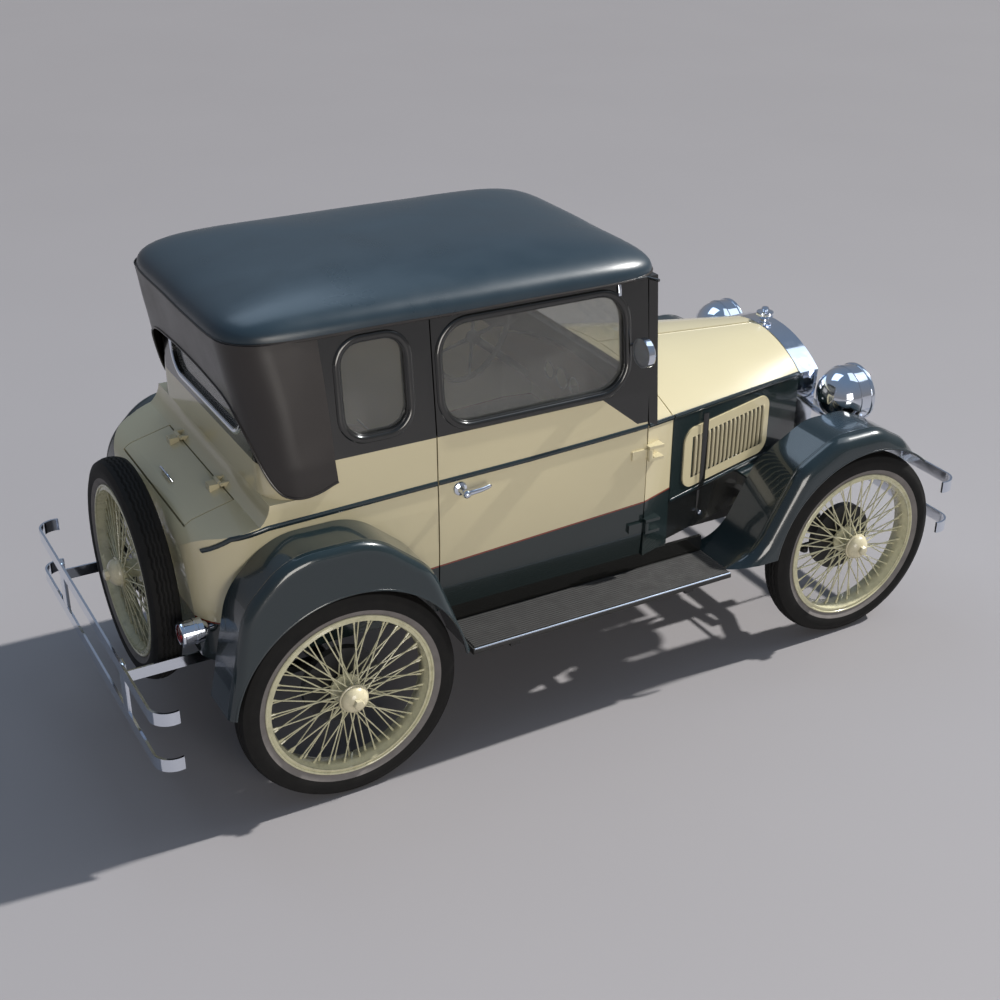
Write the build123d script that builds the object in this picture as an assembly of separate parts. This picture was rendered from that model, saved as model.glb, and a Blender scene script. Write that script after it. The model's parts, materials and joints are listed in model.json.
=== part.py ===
from build123d import *
import math
import os

# A two-door coupe of the late nineteen-twenties, standing on its wheels.
# All sizes are in millimetres: x points forward, y to the left, z up from the ground.
# The origin is on the ground, under the middle of the whole car.

# Overall sizes and running gear
WHEELBASE = 2330.0
REAR_OVERHANG = 715.0
FRONT_OVERHANG = 555.0
LENGTH = REAR_OVERHANG + WHEELBASE + FRONT_OVERHANG
REAR_AXLE_X = REAR_OVERHANG - LENGTH / 2
FRONT_AXLE_X = REAR_AXLE_X + WHEELBASE
TRACK_HALF = 711.0
RUN = 0.1
SEAT = 0.3
MOVE_GAP = 5.0

# Tyre and wire wheel, measured from the wheel's own middle plane
TYRE_R = 421.0
TYRE_HALF = 57.0
RIM_FLANGE_R = 326.0
RIM_BED_R = 312.0
RIM_HALF = 38.0
RIM_SHEET = 7.0
HUB_R = 34.0
HUB_IN = -44.0
HUB_OUT = 54.0
SPINDLE_R = 22.0
SPOKES_PER_SET = 15
SPOKE_T = 4.6
CAP_R = 56.0
CAP_DEPTH = 42.0
CAP_EDGE = 7.0
NUT_R = 21.0
NUT_DEPTH = 16.0
DRUM_R = 150.0

# Chassis frame
RAIL_LOW = 500.0
RAIL_TOP = 580.0
RAIL_OUT = 400.0
RAIL_IN = 355.0
RAIL_REAR_X = REAR_AXLE_X - 405.0
RAIL_FRONT_X = FRONT_AXLE_X + 255.0
KINGPIN_Y = TRACK_HALF - 99.0
KINGPIN_R = 11.0
STEER_ARM = 150.0
TIE_Z = 372.0
TIE_PIN_R = 8.0
OPEN_PIVOT = 0.3
REAR_SPRING_X = REAR_AXLE_X - 165.0
SPRING_HALF = 500.0
SPRING_END_Z = 446.0
PERCH_Z = SPRING_END_Z - 9.0
CRANK_Z = 540.0
CRANK_R = 16.0
ENGINE_LOW = 438.0

# Body
BODY_HALF = 600.0
SILL_HALF = BODY_HALF - 14.0
TOP_HALF = BODY_HALF - 52.0
BODY_LOW = 560.0
BELT_Z = 1100.0
SHOULDER_Z = 1280.0
HEAD_Z = 1712.0
ROOF_LOW = HEAD_Z + 6.0
ROOF_CREST = ROOF_LOW + 130.0
WALL_IN = BODY_HALF - 45.0
DOOR_T = 40.0
FLOOR_T = 20.0
LUGGAGE_BOARD_T = 6.0
DOOR_REAR_X = REAR_AXLE_X + 435.0
DOOR_FRONT_X = REAR_AXLE_X + 1332.0
CAB_BACK_X = REAR_AXLE_X - 200.0
CAB_WALL = 35.0
CAB_CORNER_R = 50.0
CAB_BEND = 140.0
TAIL_X = REAR_AXLE_X - 455.0
TAIL_WALL = 38.0
CORNER_R = 240.0

# Cowl, hood and radiator: half width, belt height and crown height at two stations
COWL_X = DOOR_FRONT_X + MOVE_GAP
HOOD_REAR_X = COWL_X + 148.0
RADIATOR_X = FRONT_AXLE_X - 30.0
COWL_STATION = (COWL_X, BODY_HALF - 2.0, 1132.0, 1252.0)
NOSE_STATION = (RADIATOR_X, 330.0, 1065.0, 1188.0)
HOOD_LOW = 745.0
HOOD_T = 12.0
HOOD_HINGE_R = 6.0
HINGE_GROOVE = 18.0
SHELL_DEPTH = 100.0
SHELL_LOW = 718.0

# Fenders and running boards
FENDER_OUT = TRACK_HALF + 89.0
FENDER_SHEET = 8.0
BOARD_TOP = 490.0
BOARD_T = 25.0
BOARD_IN = BODY_HALF - 40.0
APRON_T = 14.0
BOARD_REAR_X = REAR_AXLE_X + 473.0
BOARD_FRONT_X = FRONT_AXLE_X - 683.0
BRACKET_X = (REAR_AXLE_X + 665.0, FRONT_AXLE_X - 865.0)

# Spare wheel, on the back of the body
SPARE_X = TAIL_X - 75.0
SPARE_Z = 715.0

# The engine stands behind the radiator
ENGINE_HALF = 150.0
ENGINE_X = (RADIATOR_X - 695.0, RADIATOR_X - 85.0)
ENGINE_ARMS_X = (ENGINE_X[0] + 80.0, ENGINE_X[0] + 380.0)

# Cross members: place along the car and depth
CROSS_MEMBERS = (
    (REAR_AXLE_X - 375.0, 50.0),
    (REAR_SPRING_X, 60.0),
    (BRACKET_X[0], 60.0),
    (BRACKET_X[1], 60.0),
    (FRONT_AXLE_X, 70.0),
)

AXES = {
    "x": (Plane.YZ, (1, 0, 0)),
    "y": (Plane.XZ, (0, 1, 0)),
    "z": (Plane.XY, (0, 0, 1)),
}


def block(x, y, z):
    """A box between the low and high value on each axis."""
    size = [high - low for low, high in (x, y, z)]
    centre = [(high + low) / 2 for low, high in (x, y, z)]
    return Pos(*centre) * Box(*size)


def outline(*edges):
    """A flat face inside edges that follow each other."""
    return Face(Wire(list(edges)))


def path(*points):
    """Straight edges from point to point."""
    return [Line(a, b) for a, b in zip(points, points[1:])]


def prism(axis, face, low, high):
    """An outline seen along one axis, carried from low to high on that axis."""
    plane, way = AXES[axis]
    start = Pos(*(low * c for c in way))
    return extrude(start * (plane * face), amount=high - low, dir=way)


def rounded(low, high, radius):
    """A rounded rectangle between two corners."""
    size = [b - a for a, b in zip(low, high)]
    centre = [(a + b) / 2 for a, b in zip(low, high)]
    return Pos(*centre) * RectangleRounded(size[0], size[1], radius)


def rod(a, b, radius):
    """A round bar between two points."""
    a, b = Vector(*a), Vector(*b)
    line = b - a
    return extrude(Plane(origin=a, z_dir=line) * Circle(radius), amount=line.length)


def bar(a, b, thickness):
    """A square bar between two points."""
    a, b = Vector(*a), Vector(*b)
    line = b - a
    return extrude(Plane(origin=a, z_dir=line) * Rectangle(thickness, thickness), amount=line.length)


def turned(*edges):
    """A profile of radius and height along y, turned about the y axis."""
    return revolve(outline(*edges), Axis.Y, 360)


def dome(radius, low, top):
    """An arc in a turned profile: part of a ball on the axis, from its rim to its top."""
    centre = (top * top - low * low - radius * radius) / (2 * (top - low))
    ball = abs(top - centre)
    way = 1 if top > low else -1
    lean = math.atan2(way * (low - centre), radius)
    turn = (lean + math.pi / 2) / 2
    middle = (ball * math.cos(turn), centre + way * ball * math.sin(turn))
    return ThreePointArc((radius, low), middle, (0, top))


def other_side(shape):
    """The same piece on the right-hand side."""
    return mirror(shape, about=Plane.XZ)


def hood_size(x):
    """Half width, belt height and crown height of the hood at a place along the car."""
    share = (x - COWL_STATION[0]) / (NOSE_STATION[0] - COWL_STATION[0])
    return [a + share * (b - a) for a, b in zip(COWL_STATION[1:], NOSE_STATION[1:])]


def hood_face(x, low, inset=0.0):
    """The hood's cross-section: flat sides below the belt and one arc over the crown."""
    half, belt, crown = hood_size(x)
    half, crown = half - inset, crown - inset
    face = outline(
        *path((-half, belt), (-half, low), (half, low), (half, belt)),
        ThreePointArc((half, belt), (0, crown), (-half, belt)),
    )
    return Pos(x, 0, 0) * (Plane.YZ * face)


def hood_loft(rear, front, low, inset=0.0):
    """The hood's form between two places along the car."""
    return loft([hood_face(rear, low, inset), hood_face(front, low, inset)], ruled=True)


def body_section(top_z, top_half, low=BODY_LOW):
    """The body's cross-section: rounded sides, a shoulder above the belt, then leaning in."""
    right = [(-y, z) for y, z in ((SILL_HALF, low), (BODY_HALF, 830), (BODY_HALF - 3, BELT_Z))]
    left = [(-y, z) for y, z in right]
    shoulder = BODY_HALF - 6
    edges = [Line(right[0], left[0]), ThreePointArc(*left)]
    edges += path(left[2], (shoulder, SHOULDER_Z))
    if top_z > SHOULDER_Z:
        edges += path((shoulder, SHOULDER_Z), (top_half, top_z), (-top_half, top_z))
        edges += path((-top_half, top_z), (-shoulder, SHOULDER_Z))
    else:
        edges += path((shoulder, SHOULDER_Z), (-shoulder, SHOULDER_Z))
    edges += path((-shoulder, SHOULDER_Z), right[2])
    edges += [ThreePointArc(*right[::-1])]
    return outline(*edges)


def tail_plan(rear, half, radius):
    """The body's plan, with round corners at the back only."""
    return rounded((rear, -half), (-rear, half), radius)


# Wheels

def make_tyre():
    shoulder = TYRE_R - 12
    bulge = (RIM_FLANGE_R + TYRE_R) / 2 - 6
    bead = RIM_HALF
    return turned(
        ThreePointArc((RIM_FLANGE_R, -bead), (bulge, -TYRE_HALF), (shoulder, -44)),
        ThreePointArc((shoulder, -44), (TYRE_R, 0), (shoulder, 44)),
        ThreePointArc((shoulder, 44), (bulge, TYRE_HALF), (RIM_FLANGE_R, bead)),
        *path((RIM_FLANGE_R, bead), (RIM_BED_R, bead), (RIM_BED_R, -bead), (RIM_FLANGE_R, -bead)),
    )


def make_rim():
    well = 12.0
    lip = RIM_HALF + RIM_SHEET
    return turned(
        *path(
            (RIM_BED_R, -RIM_HALF), (RIM_FLANGE_R - 1, -RIM_HALF), (RIM_FLANGE_R - 1, -lip),
            (RIM_BED_R - RIM_SHEET, -lip), (RIM_BED_R - well, -RIM_HALF / 2), (RIM_BED_R - well, RIM_HALF / 2),
            (RIM_BED_R - RIM_SHEET, lip), (RIM_FLANGE_R - 1, lip), (RIM_FLANGE_R - 1, RIM_HALF),
            (RIM_BED_R, RIM_HALF), (RIM_BED_R, -RIM_HALF),
        )
    )


# The four sets of spokes: place of the hub flange, its radius, place at the rim, lean in degrees
SPOKE_SETS = (
    (HUB_OUT - 5, 42.0, 13.0, 26.0),
    (HUB_OUT - 13, 42.0, 5.0, -26.0),
    (-16.0, 52.0, -5.0, 26.0),
    (-24.0, 52.0, -13.0, -26.0),
)


def make_spokes():
    """Laced spokes: each set leans one way, and sits beside the set that it crosses."""
    spokes = []
    step = 360 / SPOKES_PER_SET
    for place, (hub_y, hub_r, rim_y, lean) in enumerate(SPOKE_SETS):
        for count in range(SPOKES_PER_SET):
            rim_at = math.radians(count * step + place * step / len(SPOKE_SETS))
            hub_at = rim_at + math.radians(lean)
            foot = ((hub_r - 6) * math.cos(hub_at), hub_y, (hub_r - 6) * math.sin(hub_at))
            tip_r = RIM_BED_R - 8
            tip = (tip_r * math.cos(rim_at), rim_y, tip_r * math.sin(rim_at))
            spokes.append(bar(foot, tip, SPOKE_T))
    return spokes


def make_wire_wheel():
    """Rim, laced spokes and hub shell as one piece, with its outer side towards +y."""
    bore = SPINDLE_R + RUN
    hub = turned(
        *path(
            (bore, HUB_IN), (HUB_R + 4, HUB_IN), (HUB_R + 4, -29), (58, -27), (58, -13),
            (HUB_R, -10), (HUB_R, HUB_OUT - 20), (48, HUB_OUT - 18), (48, HUB_OUT),
            (bore, HUB_OUT), (bore, HUB_IN),
        )
    )
    return make_rim().fuse(hub, *make_spokes())


def make_hub_cap():
    """The domed cap, with a six-sided nut on its face."""
    rim, top = HUB_OUT + CAP_EDGE, HUB_OUT + CAP_DEPTH
    cap = turned(*path((0, HUB_OUT), (CAP_R, HUB_OUT), (CAP_R, rim)), dome(CAP_R, rim, top), Line((0, top), (0, HUB_OUT)))
    return cap + prism("y", RegularPolygon(NUT_R, 6), top - 8, top + NUT_DEPTH)


# Chassis and running gear

def make_frame_rails():
    rail = block((RAIL_REAR_X, RAIL_FRONT_X), (RAIL_IN, RAIL_OUT), (RAIL_LOW, RAIL_TOP))
    return both_sides(rail)


def make_cross_members():
    """Members between the rails, the spare wheel's carrier, and the brackets under the running boards."""
    members = []
    for x, depth in CROSS_MEMBERS:
        members.append(block((x - depth / 2, x + depth / 2), (-RAIL_IN, RAIL_IN), (RAIL_LOW, RAIL_TOP)))
    members[0] += make_spare_carrier()
    members[-1] -= rod((FRONT_AXLE_X - 60, 0, CRANK_Z), (FRONT_AXLE_X + 60, 0, CRANK_Z), CRANK_R)
    low, high = BOARD_TOP - BOARD_T - 30, BOARD_TOP - BOARD_T
    for x in BRACKET_X:
        arm = block((x - 20, x + 20), (RAIL_IN + 5, FENDER_OUT - 40), (low, high))
        members += both_sides(arm + block((x - 20, x + 20), (RAIL_IN + 5, RAIL_OUT), (low, RAIL_LOW)))
    return Compound(members)


def leaf_spring(x, half_span, centre_z, end_z):
    """A bowed pack of three leaves across the car, each shorter than the one above."""
    width = 50.0
    leaf = 9.0
    pack = None
    for row, share in enumerate((1.0, 0.72, 0.45)):
        half = half_span * share
        drop = (centre_z - end_z) * share * share
        top, low = centre_z - row * leaf, centre_z - (row + 1) * leaf - 1
        face = outline(
            ThreePointArc((-half, top - drop), (0, top), (half, top - drop)),
            Line((half, top - drop), (half, low - drop)),
            ThreePointArc((half, low - drop), (0, low), (-half, low - drop)),
            Line((-half, low - drop), (-half, top - drop)),
        )
        piece = prism("x", face, x - width / 2, x + width / 2)
        pack = piece if pack is None else pack + piece
    return pack


def make_front_axle():
    """A dropped beam with an eye at each end for the kingpin, and two spring perches."""
    low, high, depth = 350.0, 392.0, 44.0
    x = (FRONT_AXLE_X - depth / 2, FRONT_AXLE_X + depth / 2)
    end, flat, drop = TYRE_R, 34.0, 160.0
    face = outline(
        *path(
            (-KINGPIN_Y, end + 22), (-KINGPIN_Y, end - 22), (-KINGPIN_Y + flat, end - 22),
            (-KINGPIN_Y + drop, low), (KINGPIN_Y - drop, low), (KINGPIN_Y - flat, end - 22),
            (KINGPIN_Y, end - 22), (KINGPIN_Y, end + 22), (KINGPIN_Y - flat, end + 22),
            (KINGPIN_Y - drop, high), (-KINGPIN_Y + drop, high), (-KINGPIN_Y + flat, end + 22),
            (-KINGPIN_Y, end + 22),
        )
    )
    beam = prism("x", face, *x)
    for side in (1, -1):
        beam += rod((FRONT_AXLE_X, side * KINGPIN_Y, end - 22), (FRONT_AXLE_X, side * KINGPIN_Y, end + 22), 24)
        y = sorted((side * (SPRING_HALF - 40), side * (SPRING_HALF - 5)))
        beam += block(x, y, (high - 30, PERCH_Z))
    for side in (1, -1):
        beam -= rod(
            (FRONT_AXLE_X, side * KINGPIN_Y, end - 40), (FRONT_AXLE_X, side * KINGPIN_Y, end + 40), KINGPIN_R + RUN
        )
    return beam


def make_knuckle():
    """The left steering knuckle: fork round the axle's eye, kingpin, spindle, brake drum and steering arm."""
    x, y, z = FRONT_AXLE_X, KINGPIN_Y, TYRE_R
    ear, gap = 16.0, 22.0 + 1.0
    drum_in = TRACK_HALF - 75
    piece = rod((x, y, z - gap - ear), (x, y, z + gap + ear), KINGPIN_R)
    for low, high in ((z - gap - ear, z - gap), (z + gap, z + gap + ear)):
        piece += rod((x, y, low), (x, y, high), 22)
        piece += block((x - 20, x + 20), (y, drum_in + 6), (low, high))
    piece += rod((x, drum_in, z), (x, TRACK_HALF + HUB_IN - 1, z), DRUM_R)
    piece += rod((x, drum_in, z), (x, TRACK_HALF + HUB_OUT - 4, z), SPINDLE_R)
    arm_low = z - gap - ear
    piece += block((x - STEER_ARM - 10, x), (y - 12, y + 12), (arm_low, arm_low + 12))
    piece += rod((x - STEER_ARM, y, TIE_Z - 12), (x - STEER_ARM, y, arm_low + 6), TIE_PIN_R)
    return piece


def make_tie_rod():
    """A tube between the two steering arms, with an eye round each arm's pin."""
    x, y = FRONT_AXLE_X - STEER_ARM, KINGPIN_Y
    low, high = TIE_Z - 10, TIE_Z + 9
    tube = rod((x, -y + 8, TIE_Z), (x, y - 8, TIE_Z), 8)
    for side in (1, -1):
        tube += rod((x, side * y, low), (x, side * y, high), 17)
    tube -= rod((x, y, low - 5), (x, y, high + 5), TIE_PIN_R + RUN)
    tube -= rod((x, -y, low - 5), (x, -y, high + 5), TIE_PIN_R + OPEN_PIVOT)
    return tube


def make_rear_axle():
    """Axle tubes, the drive housing between them, brake drums, spindles and the torque tube."""
    x, z = REAR_AXLE_X, TYRE_R
    end, drum_out, drum_in, tube_r, bulge = TRACK_HALF + HUB_OUT - 4, TRACK_HALF + HUB_IN - 1, TRACK_HALF - 75, 38, 110
    side = [(0, end), (SPINDLE_R, end), (SPINDLE_R, drum_out), (DRUM_R, drum_out), (DRUM_R, drum_in)]
    side += [(tube_r, drum_in), (tube_r, bulge)]
    axle = turned(
        *path(*side),
        ThreePointArc((tube_r, bulge), (125, 0), (tube_r, -bulge)),
        *path(*[(r, -y) for r, y in side[::-1]]),
        Line((0, -end), (0, end)),
    )
    axle = Pos(x, 0, z) * axle
    for side in (1, -1):
        y = sorted((side * (SPRING_HALF - 40), side * (SPRING_HALF - 5)))
        axle += block((REAR_SPRING_X - 22, x), y, (PERCH_Z - 30, PERCH_Z))
    tube = rod((x + 60, 0, z), (ENGINE_X[0] + 20, 0, ENGINE_LOW + 32), 30)
    return axle + (tube & block((x, ENGINE_X[0]), (-100, 100), (300, 600)))


def make_engine():
    """One plain block for the engine and gearbox."""
    return block(ENGINE_X, (-ENGINE_HALF, ENGINE_HALF), (ENGINE_LOW, 930))


def make_engine_arms():
    """Four arms from the engine's sides, which rest on the rails."""
    arms = []
    for x in ENGINE_ARMS_X:
        arms += both_sides(block((x - 25, x + 25), (ENGINE_HALF, RAIL_OUT - 10), (RAIL_TOP, RAIL_TOP + 18)))
    return Compound(arms)


# Body

def make_floor():
    """The floor from tail to scuttle, with a raised luggage board under the deck lid."""
    top = RAIL_TOP + FLOOR_T
    plan = tail_plan(TAIL_X + TAIL_WALL, WALL_IN, CORNER_R - 45)
    floor = prism("z", plan, RAIL_TOP, top) & block((TAIL_X, COWL_X), (-WALL_IN, WALL_IN), (RAIL_TOP, top))
    return floor + block((TAIL_X + 44, CAB_BACK_X - 11), (10 - LID_Y, LID_Y - 10), (RAIL_TOP, top + LUGGAGE_BOARD_T))


# The rear deck in the side view, from the cab's back to the tail
DECK_TOP = (CAB_BACK_X, 1165.0)
DECK_FRONT = (CAB_BACK_X - 40.0, 1092.0)
DECK_REAR = (TAIL_X + 62.0, 1052.0)
TAIL_HIGH = (TAIL_X, 955.0)
TAIL_LOW = (TAIL_X + 18, BODY_LOW)
LID_Y = 350.0
LID_X = (TAIL_X + 32.0, CAB_BACK_X - 45.0)
LID_HINGE = (CAB_BACK_X - 51.0, 1106.0)
LID_T = 18.0


def deck_edges(drop):
    """The deck's line, moved down and forward by a wall's thickness."""
    a, b, c, d = [(x + drop, z - drop) for x, z in (DECK_TOP, DECK_FRONT, DECK_REAR, TAIL_HIGH)]
    return [
        ThreePointArc(a, (a[0] - 14, b[1] + 30), b),
        Line(b, c),
        ThreePointArc(c, (c[0] - 40, c[1] - 28), d),
    ]


def make_rear_body():
    """The tub behind the doors: round sides, a curved deck and a bulkhead behind the seat."""
    front = DOOR_REAR_X - MOVE_GAP
    outer = prism("x", body_section(SHOULDER_Z, 0), TAIL_X, front)
    outer &= prism("z", tail_plan(TAIL_X, BODY_HALF, CORNER_R), BODY_LOW, SHOULDER_Z + 10)
    side = outline(
        *path(TAIL_LOW, (front, BODY_LOW), (front, SHOULDER_Z), (CAB_BACK_X, SHOULDER_Z), DECK_TOP),
        *deck_edges(0),
        Line(TAIL_HIGH, TAIL_LOW),
    )
    outer &= prism("y", side, -BODY_HALF - 1, BODY_HALF + 1)
    cab = prism("z", tail_plan(CAB_BACK_X, BODY_HALF, CAB_BEND), DECK_TOP[1], SHOULDER_Z + 10)
    beside = block((CAB_BACK_X, CAB_BACK_X + CAB_BEND), (-BODY_HALF, BODY_HALF), (DECK_TOP[1], SHOULDER_Z + 10))
    outer -= beside - cab
    inner_r = CORNER_R - 45
    cabin = prism("z", tail_plan(CAB_BACK_X + CAB_WALL, WALL_IN, CAB_CORNER_R), BODY_LOW - 1, SHOULDER_Z + 1)
    cabin &= block((CAB_BACK_X, front + 1), (-WALL_IN, WALL_IN), (BODY_LOW - 1, SHOULDER_Z + 1))
    rear = TAIL_X + TAIL_WALL
    boot = prism("z", tail_plan(rear, WALL_IN, inner_r), BODY_LOW - 1, SHOULDER_Z)
    inner = outline(
        *path((rear, BODY_LOW - 1), (CAB_BACK_X - 5, BODY_LOW - 1), (CAB_BACK_X - 5, 1060), (LID_X[1], 1050)),
        *path((LID_X[1], 1050), (TAIL_X + 70, 1018), (rear, 940), (rear, BODY_LOW - 1)),
    )
    boot &= prism("y", inner, -WALL_IN, WALL_IN)
    lid_hole = block(
        (LID_X[0] - MOVE_GAP, LID_X[1] + MOVE_GAP), (-LID_Y - MOVE_GAP, LID_Y + MOVE_GAP), (960, 1140)
    )
    under = prism("z", tail_plan(rear, WALL_IN, inner_r), BODY_LOW - 1, RAIL_TOP + FLOOR_T)
    return (outer - cabin - boot - lid_hole - under) + make_lid_hinges()


def make_deck_lid():
    """The lid over the luggage space, curved like the deck around it."""
    past = TAIL_X - 60
    side = outline(
        *path((past, 900), (CAB_BACK_X, 900), DECK_TOP),
        *deck_edges(0),
        *path(TAIL_HIGH, (past, TAIL_HIGH[1]), (past, 900)),
    )
    under = outline(
        *path((past - 1, 800), (CAB_BACK_X, 800), (DECK_TOP[0], DECK_TOP[1] - LID_T)),
        *[Pos(0, -LID_T) * edge for edge in deck_edges(0)],
        *path((TAIL_HIGH[0], TAIL_HIGH[1] - LID_T), (past - 1, TAIL_HIGH[1] - LID_T), (past - 1, 800)),
    )
    lid = prism("y", side, -LID_Y, LID_Y) - prism("y", under, -LID_Y - 1, LID_Y + 1)
    lid &= block(LID_X, (-LID_Y, LID_Y), (900, 1200))
    x, z = LID_HINGE
    for y in (-220, 220):
        lid += rod((x, y - 20, z), (x, y + 20, z), 8) + block((x - 40, x - 3), (y - 20, y + 20), (z - 30, z - 1))
    lid -= rod((x, -400, z), (x, 400, z), 4 + RUN)
    return lid


def make_lid_hinges():
    """Two hinge pins with ears that stand on the deck, in front of the lid."""
    x, z = LID_HINGE
    hinges = None
    for y in (-220, 220):
        piece = rod((x, y - 40, z), (x, y + 40, z), 4)
        for side in (-1, 1):
            near, far = sorted((y + side * 22, y + side * 34))
            piece += block((LID_X[1] + MOVE_GAP, x + 42), (near, far), (1080, z + 6))
            piece += block((x, x + 20), (near, far), (z - 6, z + 6)) + rod((x, near, z), (x, far, z), 6)
        hinges = piece if hinges is None else hinges + piece
    return hinges


def wall_strip(thickness, top_z, top_half):
    """The left wall's section: the body's side and the same line moved inwards."""
    outer = [(SILL_HALF, BODY_LOW + MOVE_GAP), (BODY_HALF, 830), (BODY_HALF - 3, BELT_Z)]
    inside = BODY_HALF - thickness
    shoulder = (BODY_HALF - 6, SHOULDER_Z)
    top = (top_half, top_z)
    inner_shoulder = (shoulder[0] - thickness, SHOULDER_Z)
    inner_top = (top_half - thickness, top_z)
    return outline(
        ThreePointArc(*outer),
        *path(outer[2], shoulder, top, inner_top, inner_shoulder, (inside, BELT_Z), (inside, outer[0][1]), outer[0]),
    )


def upper_strip(thickness, inset=0.0):
    """The wall's section above the shoulder only."""
    shoulder = BODY_HALF - 6 - inset
    top = TOP_HALF - inset
    return outline(
        *path(
            (shoulder, SHOULDER_Z), (top, HEAD_Z), (top - thickness, HEAD_Z),
            (shoulder - thickness, SHOULDER_Z), (shoulder, SHOULDER_Z),
        )
    )


DOOR_WINDOW = ((DOOR_REAR_X + 38.0, SHOULDER_Z + 32.0), (DOOR_FRONT_X - 107.0, HEAD_Z - 40.0), 105.0)
QUARTER_WINDOW = ((DOOR_REAR_X - 340.0, SHOULDER_Z + 65.0), (DOOR_REAR_X - 105.0, HEAD_Z - 40.0), 75.0)
BACK_WINDOW = ((-360.0, SHOULDER_Z + 50.0), (360.0, SHOULDER_Z + 320.0), 90.0)
HINGE_Z = (700.0, 1020.0)
HINGE_X = COWL_X + 3
HINGE_Y = BODY_HALF + 13
HINGE_PIN_R = 7.0
HINGE_HALF = 18.0
HINGE_LEAF = 70.0


def make_door():
    """The left door, full height with its window frame, and two hinge barrels at its front edge."""
    door = prism("x", wall_strip(DOOR_T, HEAD_Z, TOP_HALF), DOOR_REAR_X, DOOR_FRONT_X)
    door -= prism("y", rounded(*DOOR_WINDOW), 400, 700)
    for z in HINGE_Z:
        low, high = z - HINGE_HALF, z + HINGE_HALF
        door += block((DOOR_FRONT_X - HINGE_LEAF, DOOR_FRONT_X), (BODY_HALF - 6, HINGE_Y - 6), (low, high))
        door += block((DOOR_FRONT_X - HINGE_LEAF, HINGE_X), (BODY_HALF + 2, HINGE_Y - 6), (low, high))
        door += rod((HINGE_X, HINGE_Y, low), (HINGE_X, HINGE_Y, high), HINGE_PIN_R + 4)
        door -= rod((HINGE_X, HINGE_Y, low - 1), (HINGE_X, HINGE_Y, high + 1), HINGE_PIN_R + RUN)
    return door


def make_door_glass():
    """The left door's window, in the middle of the wall."""
    pane = prism("x", upper_strip(5.0, DOOR_T / 2), DOOR_REAR_X, DOOR_FRONT_X)
    return pane & prism("y", rounded(*DOOR_WINDOW), 400, 700)


def make_door_handle():
    """The left door's lever handle, on a round base."""
    x, z = DOOR_REAR_X + 85, 1060.0
    face = BODY_HALF - 2
    handle = rod((x, face, z), (x, face + 12, z), 24) + rod((x, face + 8, z), (x, face + 52, z), 9)
    handle += Pos(x, face + 50, z) * Sphere(17)
    return handle + rod((x, face + 50, z), (x + 105, face + 46, z + 6), 8)


def make_mirror():
    """A round mirror on a short arm from the left door's frame."""
    base = (DOOR_FRONT_X - 30, 566.0, 1460.0)
    head = (DOOR_FRONT_X - 70, 660.0, 1470.0)
    arm = rod(base, head, 6) + Pos(*head) * Sphere(10)
    bowl = rod((head[0] - 20, head[1], head[2]), (head[0] + 6, head[1], head[2]), 54)
    return arm + bowl


def make_upper_body():
    """The black upper part behind the doors: quarter walls, rear corners and back panel."""
    front = DOOR_REAR_X - MOVE_GAP
    outer = prism("x", body_section(ROOF_LOW, TOP_HALF), CAB_BACK_X, front)
    outer &= prism("z", tail_plan(CAB_BACK_X, BODY_HALF, CAB_BEND), SHOULDER_Z, ROOF_LOW)
    inner = prism("x", body_section(ROOF_LOW, TOP_HALF, low=BODY_LOW), CAB_BACK_X + CAB_WALL, front + 1)
    inner = scale(inner, by=(1, (BODY_HALF - DOOR_T) / BODY_HALF, 1))
    inner &= prism("z", tail_plan(CAB_BACK_X + CAB_WALL, WALL_IN, CAB_CORNER_R), SHOULDER_Z - 1, ROOF_LOW + 1)
    upper = outer - inner
    upper -= prism("y", rounded(*QUARTER_WINDOW), -700, 700)
    return upper - prism("x", rounded(*BACK_WINDOW), CAB_BACK_X - 10, CAB_BACK_X + CAB_WALL + 10)


ROOF_REAR_X = CAB_BACK_X - 35.0
ROOF_FRONT_X = COWL_X + 66.0
ROOF_EDGE_R = 58.0


def pillow(span, low, edge, crest, radius):
    """A flat-bottomed arch between two ends, with a round corner where each end meets the arch."""
    a, b = span
    face = outline(
        *path((b, edge), (b, low), (a, low), (a, edge)),
        ThreePointArc((a, edge), ((a + b) / 2, crest), (b, edge)),
    )
    corners = [v for v in face.vertices() if abs(v.Y - edge) < 0.01]
    return fillet(corners, radius)


def make_roof():
    """The crowned roof: arcs along and across, with a skirt all round and a hollow underside."""
    rear, front, half = ROOF_REAR_X, ROOF_FRONT_X, TOP_HALF + 14
    skirt, sheet = 60.0, 32.0

    def crown(inset):
        low, edge, crest = ROOF_LOW - inset, ROOF_LOW + skirt - inset, ROOF_CREST - inset
        a, b, w = rear + inset, front - inset, half - inset
        across = pillow((-w - 0.5, w + 0.5), low, edge, crest, ROOF_EDGE_R - inset)
        along = pillow((a - 0.5, b + 0.5), low, edge - 8, crest + 3, ROOF_EDGE_R - inset)
        plan = rounded((a, -w), (b, w), 150 - inset)
        return prism("x", across, a - 5, b + 5) & prism("y", along, -w - 5, w + 5) & prism("z", plan, low, crest + 9)

    return crown(0) - crown(sheet)


def make_windshield_frame():
    """Front posts, header and lower rail in one, standing on the cowl."""
    half, belt, crown = hood_size(COWL_X)
    depth = 40.0
    outer = outline(
        *path((half, belt), (TOP_HALF, ROOF_LOW), (-TOP_HALF, ROOF_LOW), (-half, belt)),
        ThreePointArc((-half, belt), (0, crown), (half, belt)),
    )
    pane = windshield_outline()
    frame = prism("x", outer, COWL_X, COWL_X + depth) - prism("x", pane, COWL_X - 1, COWL_X + depth + 1)
    return frame - hood_loft(COWL_X - 1, HOOD_REAR_X, BODY_LOW)


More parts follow.
